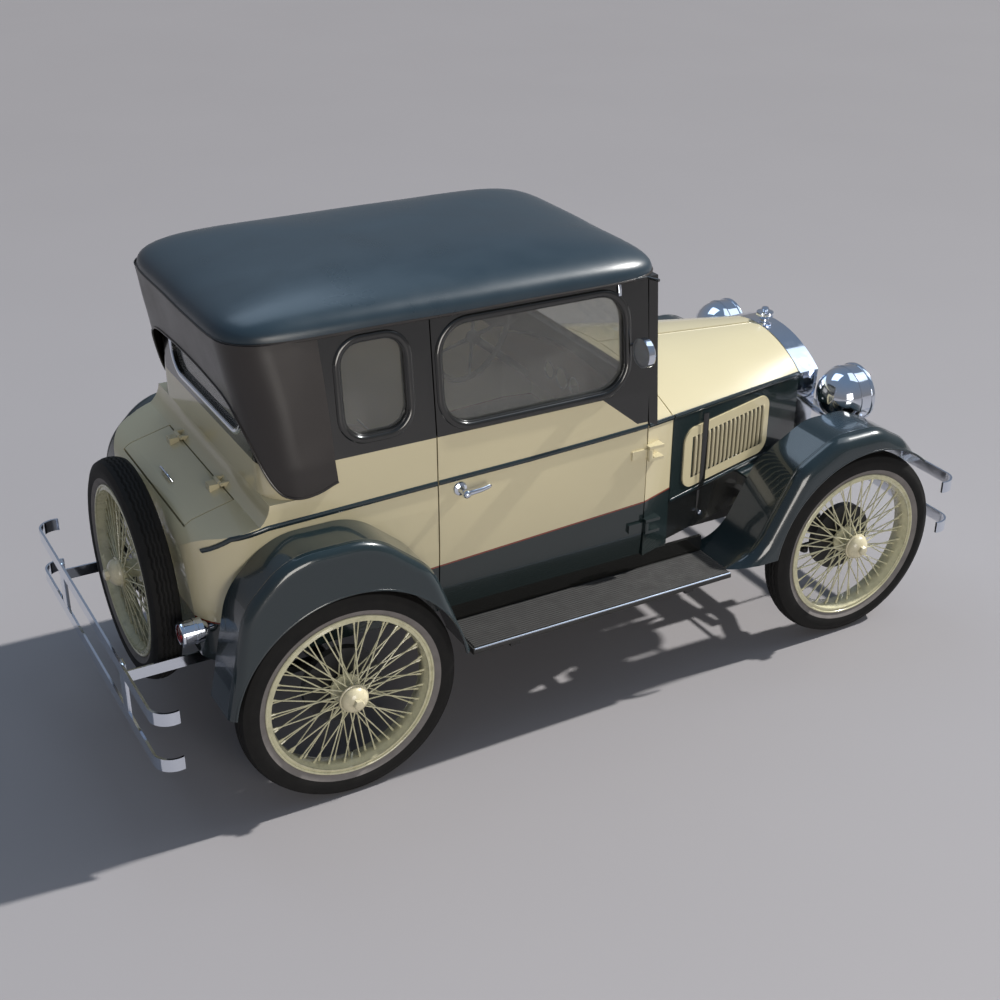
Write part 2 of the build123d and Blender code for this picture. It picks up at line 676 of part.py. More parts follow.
def windshield_outline():
    half, belt, crown = hood_size(COWL_X)
    low, high = crown + 28, HEAD_Z - 45
    return outline(
        *path((-half + 60, low), (half - 60, low), (TOP_HALF - 45, high), (-TOP_HALF + 45, high), (-half + 60, low))
    )


def make_fixed_glass():
    """Windshield, quarter windows and back window."""
    screen = prism("x", windshield_outline(), COWL_X + 17, COWL_X + 22)
    pane = prism("x", upper_strip(5.0, DOOR_T / 2), CAB_BACK_X, DOOR_REAR_X)
    left = pane & prism("y", rounded(*QUARTER_WINDOW), 400, 700)
    back = prism("x", rounded(*BACK_WINDOW), CAB_BACK_X + 15, CAB_BACK_X + 20)
    return Compound([screen, left, other_side(left), back])


def make_cowl():
    """The scuttle between doors and hood, with a firewall, a footboard and the door hinge pins."""
    front = HOOD_REAR_X - MOVE_GAP
    shell = hood_loft(COWL_X, front, BODY_LOW)
    shell -= hood_loft(COWL_X - 1, front - 14, BODY_LOW + 40, CAB_WALL)
    ears = []
    for z in HINGE_Z:
        for side in (1, -1):
            y = sorted((side * (BODY_HALF - 30), side * (HINGE_Y + 8)))
            for low, high in ((z - HINGE_HALF - 13, z - HINGE_HALF - 1), (z + HINGE_HALF + 1, z + HINGE_HALF + 13)):
                ears.append(block((HINGE_X - 8, HINGE_X + 60), y, (low, high)))
            pin = ((HINGE_X, side * HINGE_Y, z - HINGE_HALF - 13), (HINGE_X, side * HINGE_Y, z + HINGE_HALF + 13))
            ears.append(rod(*pin, HINGE_PIN_R))
    cowl = shell.fuse(*ears)
    rails = block((COWL_X - 50, front + 50), (-RAIL_OUT - 5, RAIL_OUT + 5), (0, RAIL_TOP))
    return (cowl - rails) + make_hood_rod()


def hood_hinge_line():
    """The two ends of the hinge rod, just under the hood's crown."""
    ends = []
    for x in (HOOD_REAR_X - MOVE_GAP, RADIATOR_X):
        ends.append((x, 0, hood_size(x)[2] - HOOD_T / 2))
    return ends


def make_hood_rod():
    """The hood's hinge rod, from the cowl to the radiator shell."""
    a, b = [Vector(*end) for end in hood_hinge_line()]
    longer = (b - a) * 0.02
    hinge = rod(a - longer, b + longer, HOOD_HINGE_R)
    return hinge & block((a.X - 4, b.X), (-20, 20), (1000, 1400))


# The raised louvre panel in the side view, and its slots
LOUVRE_PANEL = ((HOOD_REAR_X + 70.0, 775.0), (RADIATOR_X - 205.0, 1038.0), 60.0)
LOUVRES = 17
LOUVRE_FIRST_X = HOOD_REAR_X + 125.0
LOUVRE_PITCH = 27.0
LOUVRE_SLOT = (10.0, 175.0)


def make_hood():
    """The left half of the hood: arched top, flat side, and a raised panel with its row of louvres."""
    rear, front = HOOD_REAR_X, RADIATOR_X - MOVE_GAP
    shell = hood_loft(rear, front, HOOD_LOW)
    panel = hood_loft(rear, front, HOOD_LOW, -6) & prism("y", rounded(*LOUVRE_PANEL), 200, 700)
    shell = (shell + panel) - hood_loft(rear - 1, front + 1, HOOD_LOW - 20, HOOD_T)
    a, b = hood_hinge_line()
    shell &= block((rear, front), (0.5, 700), (HOOD_LOW, 1400))
    shell -= rod(a, b, HOOD_HINGE_R + SEAT)
    shell -= Pos(0, 0, HINGE_GROOVE / 2 + 2) * bar(a, b, HINGE_GROOVE)
    middle = (LOUVRE_PANEL[0][1] + LOUVRE_PANEL[1][1]) / 2
    for count in range(LOUVRES):
        x = LOUVRE_FIRST_X + count * LOUVRE_PITCH
        z = (middle - LOUVRE_SLOT[1] / 2, middle + LOUVRE_SLOT[1] / 2)
        shell -= block((x, x + LOUVRE_SLOT[0]), (200, 700), z)
    return shell


def make_hood_sill():
    """The left engine side panel under the hood, from the frame to the hood's lower edge."""
    rear, front = HOOD_REAR_X - MOVE_GAP, RADIATOR_X
    outer = hood_loft(rear, front, RAIL_TOP) - hood_loft(rear - 1, front + 1, RAIL_TOP - 1, HOOD_T)
    return outer & block((rear, front), (10, 700), (RAIL_TOP, HOOD_LOW - SEAT))


def make_radiator_shell():
    """The bright shell: a deep arched frame round the core."""
    face, hole = radiator_outline(0), radiator_outline(42)
    front = RADIATOR_X + SHELL_DEPTH
    return prism("x", face, RADIATOR_X, front) - prism("x", hole, RADIATOR_X - 1, front + 1)


def radiator_outline(inset):
    half, belt, crown = NOSE_STATION[1:]
    half, crown, low = half - inset, crown - inset, SHELL_LOW + inset
    return outline(
        *path((-half, belt), (-half + 22, low), (half - 22, low), (half, belt)),
        ThreePointArc((half, belt), (0, crown), (-half, belt)),
    )


def make_radiator_core():
    """The core in the shell's opening, with a foot down to the front cross member."""
    core = prism("x", radiator_outline(42), RADIATOR_X + 20, RADIATOR_X + 75)
    return core + block((RADIATOR_X + 20, RADIATOR_X + 70), (-200, 200), (RAIL_TOP, SHELL_LOW))


def make_radiator_cap():
    """The filler neck and its round cap."""
    x, crown = RADIATOR_X + SHELL_DEPTH / 2, NOSE_STATION[3]
    neck = rod((x, 0, crown - 12), (x, 0, crown + 22), 21)
    cap = rod((x, 0, crown + 22), (x, 0, crown + 40), 38)
    knob = Pos(x, 0, crown + 42) * Sphere(20)
    return (neck + cap + knob) - prism("x", radiator_outline(0), RADIATOR_X, RADIATOR_X + SHELL_DEPTH)


# Headlights
LAMP = (FRONT_AXLE_X + 120.0, 454.0, 985.0)
LAMP_R = 122.0
LAMP_SHEET = 9.0
LAMP_DEPTH = 118.0
LAMP_BAR_X = FRONT_AXLE_X + 107.0
LAMP_BAR_Z = 856.0
LAMP_FOOT_Y = 606.0


def make_headlight_shells(fenders):
    """Two bowls on one cross bar, which reaches from fender to fender."""
    x, y, z = LAMP
    inner = LAMP_R - LAMP_SHEET
    bowl = turned(
        *path((inner, -60), (LAMP_R, -60), (LAMP_R, 0)),
        dome(LAMP_R, 0, LAMP_DEPTH),
        Line((0, LAMP_DEPTH), (0, LAMP_DEPTH - 12)),
        dome(inner, 0, LAMP_DEPTH - 12),
        Line((inner, 0), (inner, -60)),
    )
    bowl = Rot(0, 0, 90) * bowl
    half, low = LAMP_FOOT_Y, LAMP_BAR_Z - 16
    piece = rod((LAMP_BAR_X, -half, LAMP_BAR_Z), (LAMP_BAR_X, half, LAMP_BAR_Z), 13)
    for side in (1, -1):
        piece += Pos(x, side * y, z) * bowl
        piece += rod((LAMP_BAR_X, side * y, LAMP_BAR_Z), (LAMP_BAR_X, side * y, z - LAMP_R + 4), 14)
        foot_y = side * (half + 3)
        foot = rod((LAMP_BAR_X, foot_y, low), (LAMP_BAR_X, foot_y, low + 110), 16)
        piece += (foot - fenders).solids().sort_by(Axis.Z)[0]
    return piece


def make_headlight_lenses():
    x, y, z = LAMP
    inner = LAMP_R - LAMP_SHEET
    lens = turned(*path((0, -54), (inner, -54), (inner, -62)), dome(inner, -62, -76), Line((0, -76), (0, -54)))
    lens = Rot(0, 0, 90) * lens
    return Compound([Pos(x, side * y, z) * lens for side in (1, -1)])


# Fenders: the outer line in the side view
FRONT_FENDER_IN = 520.0
REAR_FENDER_IN = BODY_HALF + SEAT
SKIRT_LOW = 728.0
SKIRT_LEAN = ((FRONT_FENDER_IN, 802.0), (FRONT_FENDER_IN + 28.0, 862.0))
SKIRT_TOP = 1100.0

# Corners of each fender's outer line, measured along the car from its wheel's axle
REAR_FENDER_LINE = ((-477.0, 430.0), (-381.0, 890.0), (-215.0, 1056.0), (100.0, 1056.0), (320.0, 872.0))
FRONT_FENDER_LINE = ((-545.0, 530.0), (-355.0, 862.0), (-165.0, 964.0), (55.0, 964.0), (205.0, 880.0))
FENDER_TIP = (FRONT_AXLE_X + 303.0, 765.0)
FENDER_BEND = 250.0
TOE_BEND = 190.0
LAMP_NOTCH_Y = 590.0
OUTLINE_LOW = 430.0


def from_axle(points, axle_x):
    return [(axle_x + x, z) for x, z in points]


def rear_fender_outline():
    """Up the back, over the crown, and down to the running board."""
    corners = from_axle(REAR_FENDER_LINE, REAR_AXLE_X)
    end = (BOARD_REAR_X, 470.0)
    line = FilletPolyline(*corners, end, radius=FENDER_BEND)
    return outline(*line.edges(), *path(end, (BOARD_REAR_X, OUTLINE_LOW), corners[0]))


def front_fender_outline():
    """From the running board up behind the wheel, over the crown, and down to a tip in front."""
    start = (BOARD_FRONT_X, BOARD_TOP + 2)
    line = FilletPolyline(start, *from_axle(FRONT_FENDER_LINE, FRONT_AXLE_X), FENDER_TIP, radius=TOE_BEND)
    return outline(
        *line.edges(),
        *path(FENDER_TIP, (FENDER_TIP[0], OUTLINE_LOW), (BOARD_FRONT_X, OUTLINE_LOW), start),
    )


def make_fender(face, inner_y, wheel_x, opening_r, edge_r):
    """A pressed sheet: the outline carried across, rounded at its outer edge, then hollowed."""
    outer = prism("y", face, inner_y, FENDER_OUT)
    outer = fillet(crown_edges(outer, FENDER_OUT), edge_r)
    inner = prism("y", offset(face, -FENDER_SHEET), inner_y - 1, FENDER_OUT - FENDER_SHEET)
    inner = fillet(crown_edges(inner, FENDER_OUT - FENDER_SHEET), edge_r - FENDER_SHEET)
    opening = rod((wheel_x, inner_y - 1, TYRE_R), (wheel_x, FENDER_OUT + 1, TYRE_R), opening_r)
    under = block((-LENGTH, LENGTH), (0, FENDER_OUT + 1), (OUTLINE_LOW - 1, BOARD_TOP))
    return outer - inner - opening - under


def crown_edges(solid, y):
    """The edges of a fender's rounded outer line, without its foot and its two ends."""
    on_side = solid.edges().filter_by(lambda e: abs(e.center().Y - y) < 0.01)
    low = OUTLINE_LOW + FENDER_SHEET + 1
    chain = [e for e in on_side if e.center().Z > low and not upright_end(e)]
    return chain


def upright_end(edge):
    a, b = edge @ 0, edge @ 1
    return abs(a.X - b.X) < 0.01


def make_rear_fender():
    return make_fender(rear_fender_outline(), REAR_FENDER_IN, REAR_AXLE_X, 445.0, 34.0)


def make_front_fender():
    face = front_fender_outline()
    sheet = make_fender(face, FRONT_FENDER_IN, FRONT_AXLE_X, 458.0, 60.0)
    foot, head = SKIRT_LEAN
    ends = (FRONT_AXLE_X - 445, FENDER_TIP[0] + 52)
    line = [(foot[0], SKIRT_LOW), foot, head, (head[0], SKIRT_TOP)]
    section = outline(*path(*line, *[(y + FENDER_SHEET, z) for y, z in line[::-1]], line[0]))
    skirt = prism("x", section, *ends) & prism("y", face, foot[0], head[0] + FENDER_SHEET)
    hood_side = outline(*path(foot, head, (head[0], SKIRT_TOP), (foot[0] - 9, SKIRT_TOP), (foot[0] - 9, foot[1]), foot))
    sheet -= prism("x", hood_side, ends[0] - 200, ends[1])
    rear, front = FRONT_AXLE_X - 415.0, RADIATOR_X
    half_rear, half_front = hood_size(rear)[0] + SEAT, hood_size(front)[0] + SEAT
    inner = FRONT_FENDER_IN + 4
    shelf = outline(*path((rear, half_rear), (front, half_front), (front, inner), (rear, inner), (rear, half_rear)))
    notch, past = FRONT_AXLE_X - 5, FENDER_TIP[0] + 152
    lamp_room = outline(
        *path((notch, 500), (notch + 60, LAMP_NOTCH_Y), (past, LAMP_NOTCH_Y), (past, 500), (notch, 500))
    )
    shelf = prism("z", shelf, SKIRT_LOW, SKIRT_LOW + FENDER_SHEET)
    return sheet + skirt + shelf - prism("z", lamp_room, 600, SKIRT_TOP)


def make_running_board():
    """The left running board, with a rounded outer edge."""
    inner = BOARD_IN + APRON_T + SEAT
    board = block(
        (BOARD_REAR_X + SEAT, BOARD_FRONT_X - SEAT), (inner, FENDER_OUT - 10), (BOARD_TOP - BOARD_T, BOARD_TOP)
    )
    edge = board.edges().filter_by(Axis.X).sort_by(Axis.Y)[-2:]
    return fillet(edge, 10)


def make_splash_apron():
    """The left apron beside the running board, from its brackets up to the body."""
    return block((BOARD_REAR_X, BOARD_FRONT_X), (BOARD_IN, BOARD_IN + APRON_T), (BOARD_TOP - BOARD_T, BODY_LOW))


# Bumpers: two flat bars with curled ends, two clamps and two spring arms
BUMPER_HALF = 775.0
BUMPER_CURL = 70.0
BUMPER_BAR = (9.0, 50.0)
CLAMP_Y = 400.0


def make_bumper(face_x, heights, arm_x, arm_z):
    """A bumper that faces +x with its front face at face_x, and arms back to the rails at arm_x."""
    thick, tall = BUMPER_BAR
    straight = BUMPER_HALF - BUMPER_CURL
    back = face_x - thick
    pieces = []
    for z in heights:
        span = (z - tall / 2, z + tall / 2)
        pieces.append(block((back, face_x), (-straight, straight), span))
        for side in (1, -1):
            ring = Pos(face_x - BUMPER_CURL, side * straight) * (Circle(BUMPER_CURL) - Circle(BUMPER_CURL - thick))
            corner = block((face_x - BUMPER_CURL - 20, face_x), sorted((side * straight, side * BUMPER_HALF)), span)
            pieces.append(prism("z", ring, *span) & corner)
    for side in (1, -1):
        clamp_y = sorted((side * (CLAMP_Y - 22), side * (CLAMP_Y + 22)))
        pieces.append(block((back - 6, back), clamp_y, (min(heights) - 30, max(heights) + 30)))
        arm_y = sorted((side * RAIL_OUT, side * (RAIL_OUT + 8)))
        pieces.append(block((arm_x, back), arm_y, (arm_z - 22, arm_z + 22)))
    return pieces[0].fuse(*pieces[1:])


def make_bumpers():
    front = make_bumper(LENGTH / 2, (590.0, 392.0), RAIL_FRONT_X - 140, 545.0)
    rear = make_bumper(LENGTH / 2, (560.0, 372.0), -RAIL_REAR_X - 150, 528.0)
    return Compound([front, mirror(rear, about=Plane.YZ)])


def make_spare_carrier():
    """Two arms from the rear cross member, bent up to a plate and stub that hold the spare wheel."""
    low, high = RAIL_LOW + 4, RAIL_LOW + 44
    plate_x = (TAIL_X - 18, TAIL_X - 8)
    pieces = [block(plate_x, (-70, 70), (low, SPARE_Z + 60))]
    for side in (1, -1):
        y = sorted((side * 50, side * 70))
        pieces.append(block((plate_x[0], CROSS_MEMBERS[0][0]), y, (low, high)))
    pieces.append(rod((plate_x[0], 0, SPARE_Z), (SPARE_X - 40, 0, SPARE_Z), SPINDLE_R - 0.2))
    return pieces[0].fuse(*pieces[1:])


def make_tail_lights():
    """Two round lamps on stems from the tail."""
    lamps = []
    for side in (1, -1):
        y, z = side * 500, 700
        lamp = rod((TAIL_X - 60, y, z), (TAIL_X + 10, y, z), 44) + Pos(TAIL_X + 10, y, z) * Sphere(30)
        stem = rod((TAIL_X + 10, y, z), (TAIL_X + 100, y, z), 10)
        lamps.append(lamp + stem)
    return lamps


# Cabin

SEAT_Z = 760.0
SEAT_BACK_X = (CAB_BACK_X + 47.0, CAB_BACK_X + 273.0)


def make_seat_base():
    return block((CAB_BACK_X + 49, DOOR_REAR_X + 130), (-WALL_IN + 35, WALL_IN - 35), (RAIL_TOP + FLOOR_T, SEAT_Z))


def make_seat_cushion():
    return block((SEAT_BACK_X[1] + 1, DOOR_REAR_X + 170), (-WALL_IN + 25, WALL_IN - 25), (SEAT_Z, SEAT_Z + 120))


def make_seat_back():
    rear, front = SEAT_BACK_X
    top = SHOULDER_Z + 50
    face = outline(*path((rear, SEAT_Z), (front, SEAT_Z), (front - 98, top), (rear, top), (rear, SEAT_Z)))
    return prism("y", face, -WALL_IN + 40, WALL_IN - 40)


def make_dashboard():
    half, belt, crown = hood_size(COWL_X)
    panel = outline(
        *path((-half + 50, belt - 10), (-half + 50, 1000), (half - 50, 1000), (half - 50, belt - 10)),
        ThreePointArc((half - 50, belt - 10), (0, crown - 20), (-half + 50, belt - 10)),
    )
    return prism("x", panel, COWL_X - 28, COWL_X)


STEER_HUB = Vector(DOOR_FRONT_X - 287, 300, 1240)
STEER_FOOT = Vector(DOOR_FRONT_X + 134, 300, 900)
STEER_R = 200.0


def make_steering_column(clearance):
    way = (STEER_HUB - STEER_FOOT).normalized()
    end = STEER_HUB - way * (4 - clearance)
    return rod(tuple(STEER_FOOT), tuple(end), 17 + clearance)


def make_steering_wheel():
    """The rim, four spokes and hub, square to the column."""
    way = (STEER_HUB - STEER_FOOT).normalized()
    plane = Plane(origin=STEER_HUB, z_dir=way)
    wheel = Torus(STEER_R, 12) + Pos(0, 0, -2) * Cylinder(28, 32)
    for turn in range(4):
        wheel += Rot(0, 0, turn * 90 + 45) * (Pos(STEER_R / 2, 0, 0) * Box(STEER_R - 10, 16, 8))
    return plane * wheel


CORNERS = {
    "front_left": (FRONT_AXLE_X, 1),
    "front_right": (FRONT_AXLE_X, -1),
    "rear_left": (REAR_AXLE_X, 1),
    "rear_right": (REAR_AXLE_X, -1),
}


def both_sides(shape):
    """A piece of the left side and its twin, for a node that holds the pair."""
    return Compound([shape, other_side(shape)])


def wheel_parts():
    """Tyre, wire wheel and hub cap at each corner and on the spare wheel's carrier."""
    kinds = {"tyre": make_tyre(), "wire_wheel": make_wire_wheel(), "hub_cap": make_hub_cap()}
    parts = {}
    for kind, shape in kinds.items():
        for corner, (x, side) in CORNERS.items():
            turn = 0 if side > 0 else 180
            parts[f"{corner}_{kind}"] = Pos(x, side * TRACK_HALF, TYRE_R) * Rot(0, 0, turn) * shape
        parts[f"spare_{kind}"] = Pos(SPARE_X, 0, SPARE_Z) * Rot(0, 0, 90) * shape
    return parts


def chassis_parts():
    knuckle = make_knuckle()
    springs = [leaf_spring(x, SPRING_HALF, RAIL_LOW, SPRING_END_Z) for x in (FRONT_AXLE_X, REAR_SPRING_X)]
    return {
        "frame_rails": make_frame_rails(),
        "cross_members": make_cross_members(),
        "engine_block": make_engine(),
        "engine_arms": make_engine_arms(),
        "front_axle": make_front_axle(),
        "rear_axle": make_rear_axle(),
        "leaf_springs": Compound(springs),
        "left_knuckle": knuckle,
        "right_knuckle": other_side(knuckle),
        "tie_rod": make_tie_rod(),
    }


def body_parts():
    """The body's fixed pieces, from the floor to the roof."""
    shell = make_radiator_shell()
    rear_body = make_rear_body()
    lights = [(light - rear_body).solids().sort_by(SortBy.VOLUME)[-1] for light in make_tail_lights()]
    return {
        "floor_pan": make_floor(),
        "rear_body": rear_body,
        "upper_body": make_upper_body(),
        "deck_lid": make_deck_lid(),
        "roof": make_roof(),
        "windshield_frame": make_windshield_frame(),
        "fixed_glass": make_fixed_glass(),
        "cowl": make_cowl(),
        "radiator_shell": shell,
        "radiator_core": make_radiator_core() - shell,
        "radiator_cap": make_radiator_cap(),
        "aprons": Compound([*both_sides(make_splash_apron()), *both_sides(make_hood_sill())]),
        "bumpers": make_bumpers(),
        "tail_lights": Compound(lights),
    }


def side_parts():
    """The pieces that come in a left and a right one, and the lamps that stand on the fenders."""
    door = make_door()
    left = {
        "door": door,
        "door_glass": make_door_glass(),
        "door_handle": make_door_handle() - door,
        "mirror": make_mirror() - door,
        "hood": make_hood(),
    }
    parts = {}
    for name, shape in left.items():
        parts[f"left_{name}"] = shape
        parts[f"right_{name}"] = other_side(shape)
    parts["rear_fenders"] = both_sides(make_rear_fender())
    parts["front_fenders"] = both_sides(make_front_fender())
    parts["running_boards"] = both_sides(make_running_board())
    parts["headlight_shells"] = make_headlight_shells(parts["front_fenders"])
    parts["headlight_lenses"] = make_headlight_lenses()
    return parts


def cabin_parts(cowl):
    column = make_steering_column(0) - cowl
    return {
        "seat_base": make_seat_base(),
        "seat_cushion": make_seat_cushion(),
        "seat_back": make_seat_back(),
        "steering_column": column,
        "dashboard": make_dashboard() - column,
        "steering_wheel": make_steering_wheel() - make_steering_column(RUN),
    }


def make_parts():
    """Every piece at its place, by name."""
    parts = wheel_parts() | chassis_parts() | body_parts() | side_parts()
    return parts | cabin_parts(parts["cowl"])


def main():
    os.makedirs("parts", exist_ok=True)
    for name, shape in make_parts().items():
        export_step(shape, f"parts/{name}.step")
        print(name, len(shape.solids()), round(shape.volume / 1e6, 2))


main()
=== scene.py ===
# %% [markdown]
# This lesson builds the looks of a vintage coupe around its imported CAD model.
# The CAD model gives the frame: every node stays where it is, and each new piece rides on one of its bodies.
# Everything is in metres, with x forward, y to the car's left and z up from the ground.

import json
import math

import bmesh
import bpy
import numpy as np
from mathutils import Matrix, Vector


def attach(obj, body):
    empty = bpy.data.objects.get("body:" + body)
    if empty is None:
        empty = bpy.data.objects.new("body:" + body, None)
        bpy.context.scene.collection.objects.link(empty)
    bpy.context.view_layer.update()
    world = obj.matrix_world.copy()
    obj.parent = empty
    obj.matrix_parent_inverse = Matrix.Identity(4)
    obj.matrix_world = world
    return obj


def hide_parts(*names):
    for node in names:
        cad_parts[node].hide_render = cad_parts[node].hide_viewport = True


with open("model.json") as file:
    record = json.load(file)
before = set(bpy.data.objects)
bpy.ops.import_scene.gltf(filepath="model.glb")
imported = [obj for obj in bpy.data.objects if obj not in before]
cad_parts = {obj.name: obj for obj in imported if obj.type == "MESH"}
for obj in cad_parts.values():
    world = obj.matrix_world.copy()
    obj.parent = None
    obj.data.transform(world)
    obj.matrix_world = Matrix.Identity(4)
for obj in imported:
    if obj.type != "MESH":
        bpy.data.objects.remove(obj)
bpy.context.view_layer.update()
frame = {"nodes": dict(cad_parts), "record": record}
NODES = frame["nodes"]

# %% [markdown]
# The camera comes first, because the light and the level of detail follow from what it sees.
# The photograph is squeezed sideways to half its width. The eye, the direction and the focal length below
# come from matching the car's corners to it, and the square frame shows the car in its true proportions.

# %% Camera
EYE = Vector((-2.813, -4.952, 3.558))
LOOK_AZIMUTH = math.radians(58.6)
LOOK_DOWN = math.radians(27.65)
ROLL = math.radians(1.4)
FOCAL_PX = 2368.7
FRAME_PX = 1560.0
SHIFT_RIGHT_PX, SHIFT_UP_PX = -88.0, 9.5
SENSOR = 36.0


def make_camera():
    """The three axes of the view are the direction, its level right and its up, turned by the roll."""
    forward = Vector((
        math.cos(LOOK_DOWN) * math.cos(LOOK_AZIMUTH),
        math.cos(LOOK_DOWN) * math.sin(LOOK_AZIMUTH),
        -math.sin(LOOK_DOWN),
    ))
    level = forward.cross(Vector((0, 0, 1))).normalized()
    upward = level.cross(forward)
    right = level * math.cos(ROLL) + upward * math.sin(ROLL)
    up = upward * math.cos(ROLL) - level * math.sin(ROLL)
    data = bpy.data.cameras.new("photo_camera")
    data.sensor_width = SENSOR
    data.lens = FOCAL_PX / FRAME_PX * SENSOR
    data.shift_x = SHIFT_RIGHT_PX / FRAME_PX
    data.shift_y = SHIFT_UP_PX / FRAME_PX
    camera = bpy.data.objects.new("photo_camera", data)
    camera.matrix_world = Matrix.Translation(EYE) @ Matrix((right, up, -forward)).transposed().to_4x4()
    bpy.context.scene.collection.objects.link(camera)
    bpy.context.scene.camera = camera
    return camera


camera = make_camera()
print("lens in mm:", round(camera.data.lens, 1))

# %% [markdown]
# A plain studio: a grey floor, and one distant key light in front of the car, which throws the shadow towards
# its tail as in the photograph. A soft sky and broad panels are what the paint and the bright metal mirror.

# %% World, lights and floor
KEY_UP = math.radians(43.0)
KEY_TURN = math.radians(-4.0)
SKY_TOP = (0.42, 0.60, 0.86)
SKY_LOW = (0.62, 0.61, 0.63)


def make_world():
    """The colour goes from the horizon's grey to a cool overhead by the height of the direction."""
    world = bpy.data.worlds.new("studio")
    bpy.context.scene.world = world
    world.use_nodes = True
    tree = world.node_tree
    ground = tree.nodes["Background"]
    ground.inputs["Strength"].default_value = 0.36
    place = tree.nodes.new("ShaderNodeTexCoord")
    height = tree.nodes.new("ShaderNodeSeparateXYZ")
    ramp = tree.nodes.new("ShaderNodeValToRGB")
    ramp.color_ramp.elements[0].color = (*SKY_LOW, 1)
    ramp.color_ramp.elements[1].color = (*SKY_TOP, 1)
    tree.links.new(place.outputs["Generated"], height.inputs[0])
    tree.links.new(height.outputs["Z"], ramp.inputs["Fac"])
    tree.links.new(ramp.outputs["Color"], ground.inputs["Color"])


def make_light(name, place, aim, size, power, color):
    """A square panel that faces its aim."""
    data = bpy.data.lights.new(name, "AREA")
    data.size = size
    data.energy = power
    data.color = color
    light = bpy.data.objects.new(name, data)
    light.location = place
    light.rotation_euler = (Vector(aim) - Vector(place)).to_track_quat("-Z", "Y").to_euler()
    bpy.context.scene.collection.objects.link(light)


def make_key():
    """A distant light: its rays come from the front, from this height over the floor."""
    data = bpy.data.lights.new("key", "SUN")
    data.energy = 4.6
    data.angle = math.radians(1.5)
    data.color = (1.0, 0.98, 0.94)
    light = bpy.data.objects.new("key", data)
    level = math.cos(KEY_UP)
    source = Vector((level * math.cos(KEY_TURN), level * math.sin(KEY_TURN), math.sin(KEY_UP)))
    light.rotation_euler = source.to_track_quat("Z", "Y").to_euler()
    bpy.context.scene.collection.objects.link(light)


make_world()
make_key()
make_light("front_panel", (4.1, -1.1, 6.3), (1.2, 0.0, 1.1), 4.0, 55.0, (0.82, 0.91, 1.0))
make_light("overhead_panel", (-0.5, 2.5, 6.5), (-0.4, 0.0, 1.2), 3.5, 70.0, (0.66, 0.82, 1.0))
make_light("side_panel", (-1.2, -7.5, 2.3), (-0.2, 0.0, 0.8), 3.0, 190.0, (1.0, 0.95, 0.88))
bpy.context.scene.view_settings.view_transform = "Standard"

# %% [markdown]
# Every finish is one principled shader. Values that are the same all over sit on the shader's own sockets,
# and only what changes over the surface comes from nodes, on the piece's own coordinates.

# %% Helpers for finishes
PAINT = {}


def finish(name, color, roughness, metallic=0.0, **sockets):
    """A new material, kept under its name: one principled shader with its even values on its own sockets."""
    made = bpy.data.materials.new(name)
    made.use_nodes = True
    shader = made.node_tree.nodes["Principled BSDF"]
    values = {"Base Color": (*color, 1.0), "Roughness": roughness, "Metallic": metallic}
    values |= {key.replace("_", " "): value for key, value in sockets.items()}
    for key, value in values.items():
        shader.inputs[key].default_value = value
    PAINT[name] = made
    return made


def node(made, kind, *inputs, **settings):
    """A shader node. Its inputs come in order: a socket is linked, a value is set and None is left."""
    new = made.node_tree.nodes.new("ShaderNode" + kind)
    for key, value in settings.items():
        setattr(new, key, value)
    for place, value in enumerate(inputs):
        if isinstance(value, bpy.types.NodeSocket):
            made.node_tree.links.new(value, new.inputs[place])
        elif value is not None:
            new.inputs[place].default_value = value
    return new.outputs[0]


def feed(made, socket, value):
    """Links a value to one of the shader's sockets."""
    made.node_tree.links.new(value, made.node_tree.nodes["Principled BSDF"].inputs[socket])


def place(made, kind="Object"):
    """The piece's own coordinates, or its surface's own u and v."""
    return made.node_tree.nodes.new("ShaderNodeTexCoord").outputs[kind]


def stretched(made, scale, kind="Object"):
    return node(made, "Mapping", place(made, kind), None, None, scale)


def calc(made, operation, a, b=0.0, c=0.0):
    return node(made, "Math", a, b, c, operation=operation)


def noise(made, scale, detail=2.0, where=None):
    return node(made, "TexNoise", where or place(made), None, scale, detail)


def blend_colors(made, share, a, b):
    """Colour a where the share is 0 and b where it is 1."""
    new = made.node_tree.nodes.new("ShaderNodeMix")
    new.data_type = "RGBA"
    for index, value in ((0, share), (6, a), (7, b)):
        if isinstance(value, bpy.types.NodeSocket):
            made.node_tree.links.new(value, new.inputs[index])
        else:
            new.inputs[index].default_value = value if index == 0 else (*value, 1.0)
    return new.outputs[2]


def spread(made, value, low, high, new_low=0.0, new_high=1.0):
    """A value's range carried to a new range, and kept inside it."""
    return node(made, "MapRange", value, low, high, new_low, new_high)


def relief(made, height, strength, distance):
    """Light and shade from a height, in metres at full strength."""
    feed(made, "Normal", node(made, "Bump", strength, distance, None, height))


def vary(made, color, scale=2.5, amount=0.12):
    """A colour that wanders a little lighter and darker over the piece, as sun and hands leave it."""
    dark = tuple(c * (1 - amount) for c in color)
    light = tuple(min(1.0, c * (1 + amount)) for c in color)
    return blend_colors(made, noise(made, scale, 3.0), dark, light)


def wipe(made, low, high, scale=9.0):
    """Roughness between two values in soft patches, as dust and polish leave it."""
    feed(made, "Roughness", spread(made, noise(made, scale, 5.0), 0.3, 0.7, low, high))


# %% [markdown]
# The body is painted in two tones: cream, and a green-black below a red line that rises towards the front.
# The car's upper part is black. The borders are heights that change with the place along the car, and on
# the hood also a box with round corners.

